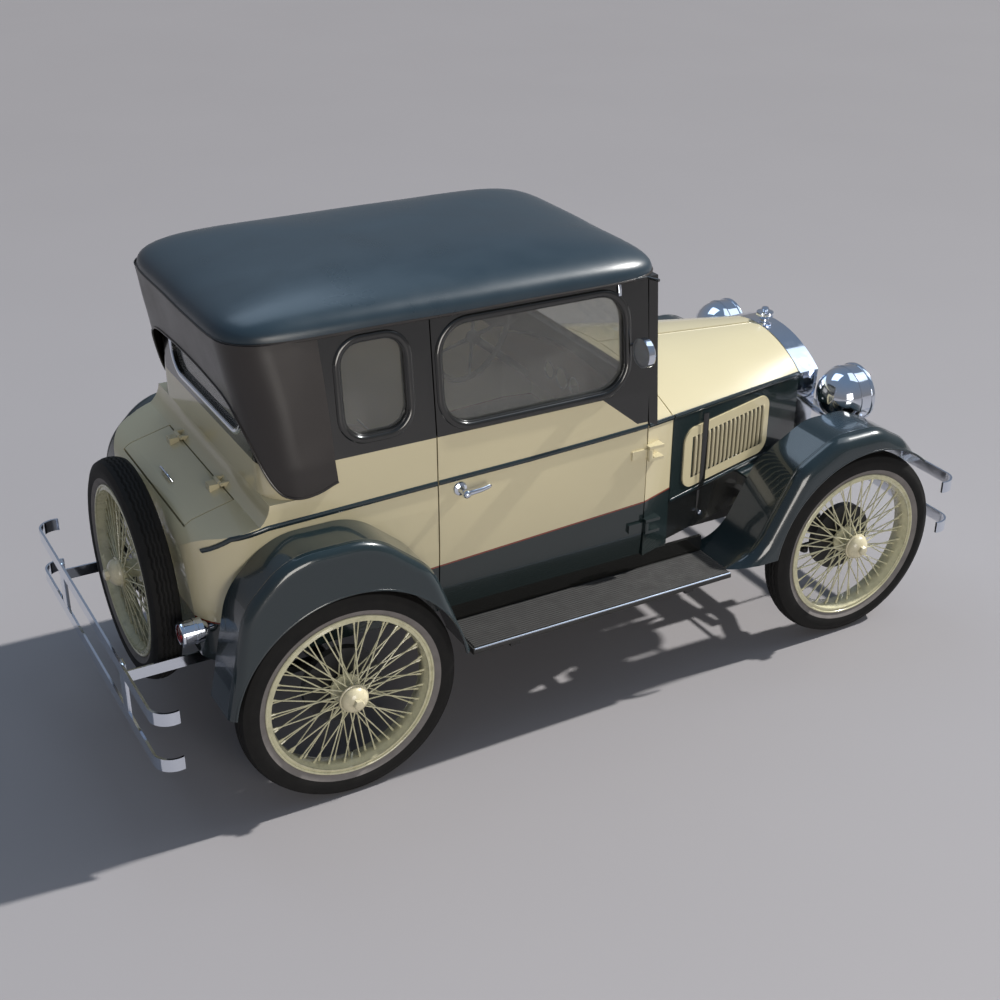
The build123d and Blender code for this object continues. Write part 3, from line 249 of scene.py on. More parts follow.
# %% Paints
CREAM = (0.60, 0.53, 0.34)
DARK = (0.012, 0.020, 0.020)
BLACK = (0.010, 0.010, 0.009)
RED = (0.20, 0.035, 0.02)
STRIPE_Z, STRIPE_RISE, STRIPE_HALF = 0.792, 0.0493, 0.0032
SHOULDER_Z, CAB_FRONT_X = 1.280, 0.324
PILLAR_X, PILLAR_DROP = (0.04, 0.20), 0.13
HOOD_BORDER_Z, HOOD_BORDER_RISE = 1.1495, -0.0696
PANEL_X, PANEL_Z, PANEL_CORNER = (0.470, 1.010), (0.775, 1.038), 0.060
SLOT_FIRST, SLOT_PITCH, SLOT_COUNT, SLOT_Z = 0.525, 0.027, 17, 0.9065
# The painted shade in the louvres' mouths: its lead, its share of the pitch, its half height, and the row's
# margin.
SLOT_SHADE_LEAD, SLOT_SHADE_SHARE, SLOT_SHADE_HALF, ROW_MARGIN = 0.0075, 0.58, 0.0905, 0.0065


def own_xyz(made, kind="Object"):
    """The piece's own x, y and z as three values, or its surface's u and v as the first two."""
    spot = made.node_tree.nodes.new("ShaderNodeSeparateXYZ")
    made.node_tree.links.new(place(made, kind), spot.inputs[0])
    return spot.outputs


def away_from(made, value, middle):
    return calc(made, "ABSOLUTE", calc(made, "SUBTRACT", value, middle))


def enamel(name, color):
    """Even enamel: a wandering tone, a faint ripple, and a clear coat over it. The tone is given back too."""
    made = finish(name, color, 0.22, Coat_Weight=0.7, Coat_Roughness=0.04)
    tone = vary(made, color, 1.8, 0.06)
    feed(made, "Base Color", tone)
    wipe(made, 0.17, 0.24, 3.0)
    relief(made, noise(made, 120.0), 0.02, 0.0004)
    return made, tone


def two_tone_paint(name):
    """Cream over green-black with a red line between them, and black above the shoulder."""
    made, cream = enamel(name, CREAM)
    x, _, z = own_xyz(made)
    above = calc(made, "SUBTRACT", z, calc(made, "MULTIPLY_ADD", x, STRIPE_RISE, STRIPE_Z))
    lower = blend_colors(made, calc(made, "GREATER_THAN", above, 0.0), DARK, cream)
    on_line = calc(made, "LESS_THAN", calc(made, "ABSOLUTE", above), STRIPE_HALF)
    striped = blend_colors(made, on_line, lower, RED)
    drop = spread(made, x, *PILLAR_X, 0.0, PILLAR_DROP)
    top = calc(made, "GREATER_THAN", calc(made, "ADD", z, drop), SHOULDER_Z)
    on_cab = calc(made, "LESS_THAN", x, CAB_FRONT_X)
    feed(made, "Base Color", blend_colors(made, calc(made, "MULTIPLY", top, on_cab), striped, BLACK))


def hood_paint(name):
    """Cream on top and on the raised louvre panel, black between them, and painted shade in the louvres'
    mouths.
    """
    made, cream = enamel(name, CREAM)
    x, _, z = own_xyz(made)
    border = calc(made, "MULTIPLY_ADD", x, HOOD_BORDER_RISE, HOOD_BORDER_Z)
    on_top = calc(made, "GREATER_THAN", z, border)
    squares = []
    for value, (low, high) in ((x, PANEL_X), (z, PANEL_Z)):
        away = away_from(made, value, (low + high) / 2)
        past = calc(made, "MAXIMUM", calc(made, "SUBTRACT", away, (high - low) / 2 - PANEL_CORNER), 0.0)
        squares.append(calc(made, "POWER", past, 2.0))
    on_panel = calc(made, "LESS_THAN", calc(made, "SQRT", calc(made, "ADD", *squares)), PANEL_CORNER + 0.001)
    # Painted shade: the louvres' mouths are black over a share of each slot's pitch, along the row and up to
    # the slots' height, so that the open slots read dark.
    start = -(SLOT_FIRST - SLOT_SHADE_LEAD) / SLOT_PITCH
    place_in_pitch = calc(made, "FRACT", calc(made, "MULTIPLY_ADD", x, 1 / SLOT_PITCH, start))
    slot_shade = calc(made, "LESS_THAN", place_in_pitch, SLOT_SHADE_SHARE)
    row_half = SLOT_PITCH * (SLOT_COUNT - 1) / 2
    for value, middle, half in ((x, SLOT_FIRST + row_half, row_half + ROW_MARGIN), (z, SLOT_Z, SLOT_SHADE_HALF)):
        inside = calc(made, "LESS_THAN", away_from(made, value, middle), half)
        slot_shade = calc(made, "MULTIPLY", slot_shade, inside)
    share = calc(made, "MAXIMUM", on_top, calc(made, "SUBTRACT", on_panel, slot_shade))
    feed(made, "Base Color", blend_colors(made, share, DARK, cream))


def bright_metal(name, color, low=0.04, high=0.12):
    """Plated metal: a mirror with fine wipe marks and a little haze."""
    made = finish(name, color, 0.08, 1.0)
    wipe(made, low, high, 30.0)
    relief(made, noise(made, 90.0, 3.0), 0.02, 0.0006)


enamel("cream_paint", CREAM)
enamel("fender_gloss", (0.010, 0.020, 0.024))
enamel("black_gloss", BLACK)
enamel("wheel_black", (0.012, 0.012, 0.012))
two_tone_paint("two_tone")
hood_paint("hood_two_tone")
bright_metal("bright_metal", (0.78, 0.83, 0.92))
print("paints:", sorted(PAINT))

# %% [markdown]
# Leathercloth, rubber, glass, cloth and wood each get their own grain. A grain is the height of a cell
# pattern or of noise, scaled so that one cell has its real size in metres.

# %% Other finishes
# The share of the sidewall that gets the painted highlight of sunlight.
SUNLIT_BAND_SHARE = 0.045


def leathercloth(name, color):
    """Coated cloth: fine pebbles about a millimetre and a half across, with a soft sheen."""
    made = finish(name, color, 0.36, Specular_IOR_Level=0.6)
    feed(made, "Base Color", vary(made, color, 5.0, 0.15))
    wipe(made, 0.26, 0.36, 5.0)
    pebbles = node(made, "TexVoronoi", place(made), None, 650.0, feature="SMOOTH_F1")
    relief(made, pebbles, 0.25, 0.0004)


def rubber(name):
    made = finish(name, (0.020, 0.020, 0.020), 0.62)
    feed(made, "Base Color", vary(made, (0.022, 0.021, 0.020), 14.0, 0.4))
    wipe(made, 0.52, 0.75, 20.0)
    relief(made, noise(made, 700.0, 3.0), 0.25, 0.0004)


def tyre_rubber(name):
    """Black tread and shoulder, and a grey band on the lower sidewall by the surface's own v, painted in as
    the sunlit part of the sidewall.
    """
    made = finish(name, (0.010, 0.010, 0.010), 0.7, Specular_IOR_Level=0.22)
    v = own_xyz(made, "UV")[1]
    edge = calc(made, "MINIMUM", v, calc(made, "SUBTRACT", 1.0, v))
    # Painted highlight: the grey band by the rim stands in for sunlight on the sidewall; the dust noise
    # varies the tone of both the black and the grey.
    band = calc(made, "LESS_THAN", edge, SUNLIT_BAND_SHARE)
    dust = noise(made, 24.0, 6.0)
    black = blend_colors(made, dust, (0.005, 0.005, 0.005), (0.014, 0.013, 0.012))
    grey = blend_colors(made, dust, (0.13, 0.12, 0.115), (0.24, 0.22, 0.21))
    feed(made, "Base Color", blend_colors(made, band, black, grey))
    relief(made, noise(made, 420.0, 4.0), 0.3, 0.0006)


def clear_glass(name, color, clear=1.0):
    """Glass with an even tint, the faintest waviness, and a pale diffuse share where it isn't fully clear,
    which is painted light: it brightens the windows as the lit floor seen through them would.
    """
    made = finish(name, color, 0.02, IOR=1.45, Transmission_Weight=clear)
    relief(made, noise(made, 6.0), 0.02, 0.004)


def woven_cloth(name, color):
    """Crossed threads: two sets of waves three quarters of a millimetre apart, one over the other."""
    made = finish(name, color, 0.85, Sheen_Weight=0.4, Sheen_Roughness=0.5)
    where = place(made)
    warp = node(made, "TexWave", where, 420.0, 0.6, 2.0, bands_direction="X")
    weft = node(made, "TexWave", where, 420.0, 0.6, 2.0, bands_direction="Y")
    weave = calc(made, "MAXIMUM", warp, weft)
    pale = tuple(min(1.0, c * 1.5) for c in color)
    feed(made, "Base Color", blend_colors(made, weave, vary(made, color, 7.0, 0.25), pale))
    relief(made, weave, 0.4, 0.0006)


def varnished_wood(name):
    """Long grain: rings of a stretched noise, under varnish."""
    made = finish(name, (0.16, 0.07, 0.03), 0.3, Coat_Weight=0.5, Coat_Roughness=0.1)
    grain = node(made, "TexNoise", stretched(made, (60.0, 2.0, 60.0)), None, 1.0, 6.0)
    feed(made, "Base Color", blend_colors(made, grain, (0.07, 0.028, 0.012), (0.24, 0.11, 0.045)))
    relief(made, grain, 0.1, 0.0005)


def rough_metal(name, color, roughness, grain=120.0):
    """Painted or cast metal of the running gear, with patches of road dust."""
    made = finish(name, color, roughness, 0.2)
    dust = noise(made, 12.0, 6.0)
    grey = tuple(0.5 * c + 0.03 for c in color)
    feed(made, "Base Color", blend_colors(made, dust, color, grey))
    relief(made, noise(made, grain, 4.0), 0.2, 0.001)


def wheel_enamel(name, color):
    made = finish(name, color, 0.25, Coat_Weight=0.5, Coat_Roughness=0.08)
    dust = spread(made, noise(made, 30.0, 5.0), 0.5, 0.8)
    feed(made, "Base Color", blend_colors(made, dust, color, tuple(c * 0.72 for c in color)))
    wipe(made, 0.2, 0.38, 40.0)


# The top's blue and the brown of the roof's piping, curtain and welt are painted reflections on one black
# cloth: blue for the sky above, brown for the floor beside.
leathercloth("top_leather", (0.018, 0.034, 0.048))
leathercloth("side_leather", (0.020, 0.016, 0.014))
rubber("board_rubber")
tyre_rubber("tyre")
# The window glass's pale diffuse share is painted light, standing in for the lit floor seen through the
# windows.
clear_glass("glass", (0.70, 0.70, 0.67), 0.90)
clear_glass("lens", (0.92, 0.94, 0.95))
clear_glass("red_lens", (0.55, 0.02, 0.02))
woven_cloth("seat_cloth", (0.13, 0.105, 0.085))
varnished_wood("wood")
rough_metal("chassis_black", (0.014, 0.014, 0.015), 0.45)
rough_metal("engine_grey", (0.09, 0.10, 0.09), 0.6, 200.0)
rough_metal("core", (0.03, 0.03, 0.03), 0.4, 60.0)
wheel_enamel("wheel_cream", (0.60, 0.57, 0.38))
wheel_enamel("cap_cream", (0.64, 0.58, 0.40))
print("finishes:", len(PAINT))

# %% Floor
FLOOR_HALF = 30.0
FLOOR_GREY = (0.285, 0.272, 0.282)


def make_floor():
    """A wide grey plane at the ground, a little lighter and darker in places."""
    made = finish("floor_grey", FLOOR_GREY, 0.75)
    feed(made, "Base Color", vary(made, FLOOR_GREY, 0.6, 0.03))
    mesh = bpy.data.meshes.new("floor")
    corners = [(x * FLOOR_HALF, y * FLOOR_HALF, 0) for x, y in ((-1, -1), (1, -1), (1, 1), (-1, 1))]
    mesh.from_pydata(corners, [], [(0, 1, 2, 3)])
    mesh.materials.append(made)
    floor = bpy.data.objects.new("floor", mesh)
    bpy.context.scene.collection.objects.link(floor)


make_floor()

# %% [markdown]
# The CAD nodes whose shape is right stay. Each takes the finish that its record slot names, except the hood,
# whose black and cream borders need a finish of its own.

# %% Finishes on the CAD nodes
SLOT_OF = {row["node"]: row["material_slot"] for row in frame["record"]["subparts"]}
OWN_FINISH = {"left_hood": "hood_two_tone", "right_hood": "hood_two_tone"}
for name, piece in NODES.items():
    piece.data.materials.clear()
    piece.data.materials.append(PAINT[OWN_FINISH.get(name, SLOT_OF[name])])
print("finished nodes:", len(NODES))

# %% [markdown]
# New pieces are grids of points worked out as whole arrays: two parameters give a surface. The helpers below
# turn such a grid into a mesh, close its seams and poles, and let the piece ride on a body of the car.

# %% Helpers for surfaces
SHARP = math.radians(32.0)
SIDES = (("left", 1.0), ("right", -1.0))
pieces = []


def around(steps):
    """Angles at even steps, once round."""
    return np.linspace(0, 2 * math.pi, steps, endpoint=False)


def grid_cells(rows, cols, round_rows, round_cols):
    """The row and column of each cell of a grid; a round direction has one cell more, which closes it."""
    return np.meshgrid(np.arange(rows - (not round_rows)), np.arange(cols - (not round_cols)), indexing="ij")


def grid_quads(rows, cols, round_rows=False, round_cols=False):
    """The corner numbers of each cell of a grid of points; a round direction closes on its first line."""
    i, j = grid_cells(rows, cols, round_rows, round_cols)
    ahead, beside = (i + 1) % rows, (j + 1) % cols
    corners = [i * cols + j, ahead * cols + j, ahead * cols + beside, i * cols + beside]
    return np.stack(corners, -1).reshape(-1, 4)


def grid_uv(rows, cols, round_rows=False, round_cols=False):
    """The u and v of each cell's four corners, from 0 to 1 along the grid's two directions."""
    i, j = grid_cells(rows, cols, round_rows, round_cols)
    u = np.stack([i, i + 1, i + 1, i], -1) / i.shape[0]
    v = np.stack([j, j, j + 1, j + 1], -1) / i.shape[1]
    return np.stack([u, v], -1).reshape(-1, 2)


def add_piece(name, body, finish_name, points, faces, uv=None, slot=None, merge=1e-5):
    """A mesh of these points and faces, closed where points meet, facing outwards, on its body."""
    mesh = bpy.data.meshes.new(name)
    mesh.from_pydata(np.asarray(points, float).reshape(-1, 3), [], faces)
    if uv is not None:
        mesh.uv_layers.new(name="surface").data.foreach_set("uv", np.asarray(uv, np.float32).ravel())
    work = bmesh.new()
    work.from_mesh(mesh)
    bmesh.ops.remove_doubles(work, verts=work.verts, dist=merge)
    bmesh.ops.dissolve_degenerate(work, edges=work.edges, dist=merge / 2)
    bmesh.ops.recalc_face_normals(work, faces=work.faces)
    work.to_mesh(mesh)
    work.free()
    mesh.polygons.foreach_set("use_smooth", np.full(len(mesh.polygons), True))
    mesh.set_sharp_from_angle(angle=SHARP)
    mesh.materials.append(PAINT[finish_name])
    piece = bpy.data.objects.new(name, mesh)
    bpy.context.scene.collection.objects.link(piece)
    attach(piece, body)
    pieces.append(piece)
    return piece


def join_grids(*grids):
    """Several (points, faces) pairs as one pair, with the later faces counted on."""
    points, faces, start = [], [], 0
    for some, cells in grids:
        some = np.asarray(some, float).reshape(-1, 3)
        points.append(some)
        faces.append(np.asarray(cells) + start)
        start += len(some)
    return np.concatenate(points), np.concatenate(faces)


def lathe(profile, steps, axis="y"):
    """A profile of (radius, height) turned about the axis: x = r cos a, z = r sin a, y = the height."""
    profile = np.asarray(profile, float)
    angle = around(steps)[:, None]
    across, upward = profile[:, 0] * np.cos(angle), profile[:, 0] * np.sin(angle)
    height = np.broadcast_to(profile[:, 1], across.shape)
    order = {"y": (across, height, upward), "z": (across, upward, height), "x": (height, across, upward)}
    return np.stack(order[axis], -1), grid_quads(steps, len(profile), round_rows=True)


def arc(center, radius, start, end, steps):
    """Points on a circle between two angles in degrees."""
    angle = np.radians(np.linspace(start, end, steps))
    return np.stack([center[0] + radius * np.cos(angle), center[1] + radius * np.sin(angle)], -1)


def rounded_line(corners, radius, steps=8, closed=False):
    """A line through corners, each rounded by an arc that touches both of its runs."""
    corners = np.asarray(corners, float)
    count = len(corners)
    made = [] if closed else [corners[:1]]
    for at in range(0 if closed else 1, count if closed else count - 1):
        back = corners[at - 1] - corners[at]
        ahead = corners[(at + 1) % count] - corners[at]
        reach = min(np.linalg.norm(back), np.linalg.norm(ahead)) * 0.499
        back, ahead = back / np.linalg.norm(back), ahead / np.linalg.norm(ahead)
        half = math.acos(np.clip(back @ ahead, -1, 1)) / 2
        size = min(radius, reach * math.tan(half))
        cut = size / math.tan(half)
        middle = (back + ahead) / np.linalg.norm(back + ahead)
        center = corners[at] + middle * size / math.sin(half)
        first, last = corners[at] + back * cut - center, corners[at] + ahead * cut - center
        share = np.linspace(0, 1, steps)[:, None]
        turn = math.pi - 2 * half
        bend = np.sin((1 - share) * turn) * first + np.sin(share * turn) * last
        made.append(center + bend / math.sin(turn))
    if not closed:
        made.append(corners[-1:])
    return np.concatenate(made)


def dense(line, step, closed=False):
    """The same line with points at even distances along it."""
    line = np.asarray(line, float)
    if closed:
        line = np.concatenate([line, line[:1]])
    length = np.concatenate([[0], np.cumsum(np.linalg.norm(np.diff(line, axis=0), axis=1))])
    count = max(2, int(round(length[-1] / step)) + 1)
    at = np.linspace(0, length[-1], count)
    made = np.stack([np.interp(at, length, line[:, k]) for k in range(line.shape[1])], -1)
    return made[:-1] if closed else made


def carry(line, section, side, closed=False):
    """A section carried along a line: point = line + across * side + out * (side x tangent)."""
    line, section = np.asarray(line, float), np.asarray(section, float)
    if closed:
        tangent = np.roll(line, -1, 0) - np.roll(line, 1, 0)
    else:
        tangent = np.gradient(line, axis=0)
    tangent /= np.linalg.norm(tangent, axis=1, keepdims=True)
    side = np.broadcast_to(np.asarray(side, float), line.shape)
    side = side - (side * tangent).sum(1, keepdims=True) * tangent
    side /= np.linalg.norm(side, axis=1, keepdims=True)
    out = np.cross(side, tangent)
    if section.ndim == 2:
        section = np.broadcast_to(section, (len(line), *section.shape))
    return line[:, None] + section[..., :1] * side[:, None] + section[..., 1:] * out[:, None]


def capped(points, closed_line=False):
    """The faces of a carried closed section, with a cap at each end of an open line."""
    rows, cols = points.shape[:2]
    faces = grid_quads(rows, cols, round_rows=closed_line, round_cols=True)
    grids = [(points, faces)]
    if not closed_line:
        for end in (0, -1):
            ring = points[end]
            middle = np.broadcast_to(ring.mean(0), ring.shape)
            grids.append((np.stack([ring, middle]), grid_quads(2, cols, round_cols=True)))
    return join_grids(*grids)


def strand(line, section, side, closed=False):
    """The points and faces of a section carried along a line."""
    return capped(carry(line, section, side, closed), closed)


def oval(high, wide, steps=14):
    """A closed oval section: across = high cos a, out = wide sin a."""
    angle = around(steps)
    return np.stack([high * np.cos(angle), wide * np.sin(angle)], -1)


def circle(radius, steps):
    return oval(radius, radius, steps)


def rods(starts, ends, radii, sides=8):
    """Many straight rods at once: two rings each, round the line from start to end."""
    starts, ends = np.asarray(starts, float), np.asarray(ends, float)
    way = ends - starts
    way /= np.linalg.norm(way, axis=1, keepdims=True)
    helper = np.where(np.abs(way[:, 2:]) < 0.9, [[0.0, 0.0, 1.0]], [[1.0, 0.0, 0.0]])
    one = np.cross(way, helper)
    one /= np.linalg.norm(one, axis=1, keepdims=True)
    two = np.cross(way, one)
    angle = around(sides)[None, :, None]
    ring = np.cos(angle) * one[:, None] + np.sin(angle) * two[:, None]
    first_r, last_r = np.broadcast_to(np.asarray(radii, float), (2,))
    starts_in, ends_in = starts[:, None], ends[:, None]
    rows = [starts_in, starts_in + ring * first_r, ends_in + ring * last_r, ends_in]
    points = np.stack([np.broadcast_to(row, ring.shape) for row in rows], 1)
    cells = grid_quads(4, sides, round_cols=True)
    starts_at = np.arange(len(starts))[:, None, None] * (4 * sides)
    return points.reshape(-1, 3), (cells[None] + starts_at).reshape(-1, 4)


def spots(x, y, z):
    """Points whose even coordinates are given once."""
    return np.stack(np.broadcast_arrays(x, y, z), -1)


def moved(shape, offset, scale=1.0):
    """A shape scaled from its own middle and set at a place."""
    return shape[0] * scale + offset, shape[1]


def on_side(shape, sign):
    """A shape of the left side, or its mirror image where the sign is negative."""
    return shape[0] * np.array([1.0, sign, 1.0]), shape[1]


def both_sides(points, faces):
    return join_grids((points, faces), on_side((points, faces), -1.0))


# %% [markdown]
# Each tyre is one closed section turned about the axle: a rounded tread, bulging sidewalls with two raised
# rings, and a flat seat on the rim. The tread's ribs zigzag: a groove's place across sways with the angle.

# %% Tyres
TYRE_R = 0.421
FLANGE_R = 0.326
BED_R = 0.312
BEAD_HALF = 0.038
TREAD_HALF = 0.044
BULGE, CROWN = 0.013, 0.012
RING_TALL, RING_WIDE, RING_AT = 0.0012, 0.05, (0.30, 0.72)
GROOVES = (-0.024, -0.008, 0.008, 0.024)
GROOVE_HALF, GROOVE_DEPTH = 0.0022, 0.0055
ZIGZAGS, ZIGZAG_OUT = 60, 0.0028
SIPE_FROM = 0.033


def tyre_skin(steps=240, across=68):
    """Radius over the tread: R - 12 mm (y / 44 mm)^2, less a groove's depth near each zigzag line."""
    angle = around(steps)[:, None]
    side = np.linspace(0, 1, 16)
    ring = RING_TALL * sum(np.exp(-((side - at) / RING_WIDE) ** 2) for at in RING_AT)
    side_r = FLANGE_R + side * (TYRE_R - CROWN - FLANGE_R)
    side_y = BEAD_HALF + side * (TREAD_HALF - BEAD_HALF) + BULGE * np.sin(math.pi * side) + ring
    tread_y = np.linspace(TREAD_HALF, -TREAD_HALF, across)[1:-1]
    sway = ZIGZAG_OUT * (2 / math.pi) * np.arcsin(np.sin(ZIGZAGS * angle))
    deep = sum(np.clip(1.6 - np.abs(tread_y - line - sway) / GROOVE_HALF, 0, 1) for line in GROOVES)
    sipes = (np.sin(ZIGZAGS * 2 * angle) > 0.55) & (np.abs(tread_y) > SIPE_FROM)
    tread_r = TYRE_R - CROWN * (tread_y / TREAD_HALF) ** 2 - GROOVE_DEPTH * np.maximum(deep, 0.8 * sipes)
    even = np.ones_like(angle)
    bed_r, bed_y = np.array([BED_R, BED_R]), np.array([-BEAD_HALF, BEAD_HALF])
    radius = np.concatenate([side_r * even, tread_r, side_r[::-1] * even, bed_r * even], 1)
    place_y = np.concatenate([side_y, tread_y, -side_y[::-1], bed_y])
    points = np.stack([radius * np.cos(angle), place_y * even, radius * np.sin(angle)], -1)
    shape = points.shape[:2]
    return points, grid_quads(*shape, True, True), grid_uv(*shape, True, True)


REAR_X, FRONT_X = -1.085, 1.245
TRACK_HALF = 0.711
SPARE = Vector((-1.615, 0.0, 0.715))
WHEELS = {
    f"{end}_{side}": (Vector((x, sign * TRACK_HALF, TYRE_R)), 90.0 - sign * 90.0, f"{end}_{side}_wheel")
    for end, x in (("front", FRONT_X), ("rear", REAR_X)) for side, sign in SIDES
}
WHEELS["spare"] = (SPARE, 90.0, "chassis")


def placed(points, where, turn):
    """A wheel's points, turned about the upright and set at its place."""
    a = math.radians(turn)
    spin = np.array([[math.cos(a), math.sin(a), 0], [-math.sin(a), math.cos(a), 0], [0, 0, 1]])
    return np.asarray(points).reshape(-1, 3) @ spin + np.array(where)


tyre_points, tyre_faces, tyre_uv = tyre_skin()
for corner, (where, turn, body) in WHEELS.items():
    points = placed(tyre_points, where, turn)
    tyre = add_piece(corner + "_tyre_skin", body, "tyre", points, tyre_faces, tyre_uv)
    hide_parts(corner + "_tyre")
print("tyre faces each:", len(tyre_faces))

# %% [markdown]
# A wire wheel is a rim with a deep well, a hub barrel with two flanges, and sixty spokes. The spokes are
# tangential: each leaves its flange a twelfth of the way round from where it meets the rim, and pairs of
# neighbours lean opposite ways, so they cross. All sixty are worked out at once.

# %% Wire wheels
SPOKES, SPOKE_R = 60, 0.0027
HUB_FLANGES = ((0.045, 0.045), (-0.020, 0.052))
RIM_ROWS = (0.011, -0.011)
LEAN = math.radians(30.0)


def spoke_lines():
    """Foot and tip of each spoke: sets alternate between the two flanges and between the two leans."""
    count = np.arange(SPOKES)
    outer = count % 2
    lean = np.where((count // 2) % 2 == 0, LEAN, -LEAN)
    at_rim = count * 2 * math.pi / SPOKES
    at_hub = at_rim + lean
    flange = np.array(HUB_FLANGES)[outer]
    across = flange[:, 0] + 0.004 * np.sign(lean)
    foot_r = flange[:, 1] - 0.005
    foot = np.stack([foot_r * np.cos(at_hub), across, foot_r * np.sin(at_hub)], -1)
    rim_y = np.array(RIM_ROWS)[outer]
    tip_r = BED_R - 0.012
    tip = np.stack([tip_r * np.cos(at_rim), rim_y, tip_r * np.sin(at_rim)], -1)
    return foot, tip


def rim_profile():
    """A closed section: two rolled lips, two bead seats and the well between them."""
    lip = arc((FLANGE_R - 0.003, BEAD_HALF + 0.0035), 0.0045, -60, 200, 9)
    outer = np.array([(BED_R + 0.001, BEAD_HALF + 0.001), (BED_R - 0.001, 0.028), (BED_R - 0.008, 0.020)])
    half = np.concatenate([lip, outer])
    inner = np.array([(BED_R - 0.013, 0.020), (BED_R - 0.007, 0.030), (BED_R - 0.006, 0.044)])
    flip = np.array([1, -1])
    return np.concatenate([half, half[::-1] * flip, inner[::-1] * flip, inner])


HUB_PROFILE = (
    (0.0225, -0.044), (0.036, -0.044), (0.038, -0.040), (0.038, -0.030), (0.056, -0.028), (0.058, -0.026),
    (0.058, -0.016), (0.056, -0.014), (0.036, -0.010), (0.033, 0.0), (0.033, 0.030), (0.036, 0.036),
    (0.048, 0.038), (0.050, 0.040), (0.050, 0.050), (0.048, 0.0535), (0.0225, 0.0535), (0.0225, -0.044),
)
feet, tips = spoke_lines()
inward = (feet - tips) / np.linalg.norm(feet - tips, axis=1, keepdims=True)
rim = lathe(rim_profile(), 160)
rim = (rim[0], grid_quads(160, rim[0].shape[1], True, True))
wheel_points, wheel_faces = join_grids(
    rim,
    lathe(HUB_PROFILE, 48),
    rods(feet, tips, SPOKE_R, 7),
    rods(tips, tips + inward * 0.020, (0.0052, 0.0044), 6),
)
valve = rods([(0.0, 0.006, -BED_R + 0.016)], [(0.0, 0.014, -BED_R + 0.052)], 0.0042, 8)
for corner, (where, turn, body) in WHEELS.items():
    points = placed(wheel_points, where, turn)
    wheel = add_piece(corner + "_wheel_skin", body, "wheel_cream", points, wheel_faces, merge=1e-6)
    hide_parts(corner + "_wire_wheel")
    add_piece(corner + "_valve", body, "bright_metal", placed(valve[0], where, turn), valve[1])
print("wheel faces each:", len(wheel_faces))

# %% [markdown]
# The hub cap is a stepped dome with a six-sided nut on its face, which is why it has two kinds of surface:
# one profile turned in many steps, and one turned in six steps with flat faces.

# %% Hub caps
CAP_FACE = 0.054
DOME_TURN = np.linspace(0, 1.2, 12)
CAP_PROFILE = np.concatenate([
    [(0.0, CAP_FACE), (0.0555, CAP_FACE), (0.0565, CAP_FACE + 0.002), (0.0555, CAP_FACE + 0.006)],
    [(0.052, CAP_FACE + 0.008)],
    np.stack([0.052 * np.cos(DOME_TURN), CAP_FACE + 0.008 + 0.036 * np.sin(DOME_TURN)], -1),
    [(0.0, CAP_FACE + 0.042)],
])
NUT_PROFILE = (
    (0.0, CAP_FACE + 0.034), (0.021, CAP_FACE + 0.034), (0.021, CAP_FACE + 0.052), (0.018, CAP_FACE + 0.056),
    (0.0, CAP_FACE + 0.058),
)
cap_points, cap_faces = join_grids(lathe(CAP_PROFILE, 64), lathe(NUT_PROFILE, 6))
for corner, (where, turn, body) in WHEELS.items():
    cap = add_piece(corner + "_cap_skin", body, "cap_cream", placed(cap_points, where, turn), cap_faces)
    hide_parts(corner + "_hub_cap")
print("cap faces each:", len(cap_faces))

# %% [markdown]
# The top is a padded roof of coated cloth. In plan it is a superellipse, |x|^n + |y|^n = 1 with n = 8, which
# is a rectangle with soft corners. Its height falls from the crest to the edge as (1 - r^3)^(1/2.4), so that
# the edge rolls over. A curtain of the same cloth hangs behind it and wraps the rear corners.

# %% Padded roof
ROOF_REAR, ROOF_FRONT, ROOF_HALF = -1.378, 0.340, 0.570
ROOF_EDGE_Z, ROOF_RISE = 1.722, 0.125
CORNER_POWER = 8.0
ROOF_RINGS = 46


def roof_shape(steps=200):
    """For r from 0 to 1 and an angle a: x, y on the superellipse at r, z = edge + rise (1 - r^3)^(1/2.4)."""
    angle = around(steps)[None, :]
    share = np.sin(np.linspace(0, math.pi / 2, ROOF_RINGS))[:, None]
    ahead, beside = np.cos(angle), np.sin(angle)
    size = (np.abs(ahead) ** CORNER_POWER + np.abs(beside) ** CORNER_POWER) ** (-1 / CORNER_POWER)
    unit_x, unit_y = size * ahead, size * beside
    middle, half = (ROOF_REAR + ROOF_FRONT) / 2, (ROOF_FRONT - ROOF_REAR) / 2
    shoulder = ROOF_HALF * (1 - 0.02 * (1 - unit_x) / 2)
    slack = 0.0012 * np.sin(9 * angle) * share ** 6
    x, y = middle + half * unit_x * share, shoulder * unit_y * share
    z = ROOF_EDGE_Z + ROOF_RISE * np.maximum(1 - share ** 3, 0) ** (1 / 2.4) + slack
    top = np.stack([x + 0 * z, y + 0 * z, z], -1)
    welt = top[-1:] * [1, 1, 0] + [0, 0, ROOF_EDGE_Z - 0.008]
    inner = top[::-1][1:] * [0.985, 0.965, 1.0] - [0, 0, 0.026]
    inner[..., 2] = np.maximum(inner[..., 2], ROOF_EDGE_Z - 0.006)
    shape = np.concatenate([top, welt, inner])
    return shape, grid_quads(*shape.shape[:2], round_cols=True)


roof_points, roof_faces = roof_shape()
roof = add_piece("roof_skin", "chassis", "top_leather", roof_points, roof_faces)
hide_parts("roof")
edge = roof_points[ROOF_RINGS - 1] - [0, 0, 0.004]
piping = strand(edge, circle(0.0052, 10), (0, 0, 1), True)
add_piece("roof_piping", "chassis", "side_leather", *piping, slot="top_leather")
print("roof faces:", len(roof_faces))

# %% [markdown]
# The walls lean. Below the belt they bulge: y = 0.6 + 0.0204 d - 0.1166 d^2 with d the height over 0.83 m.
# Above it they are straight, and lean in from the shoulder to the head.

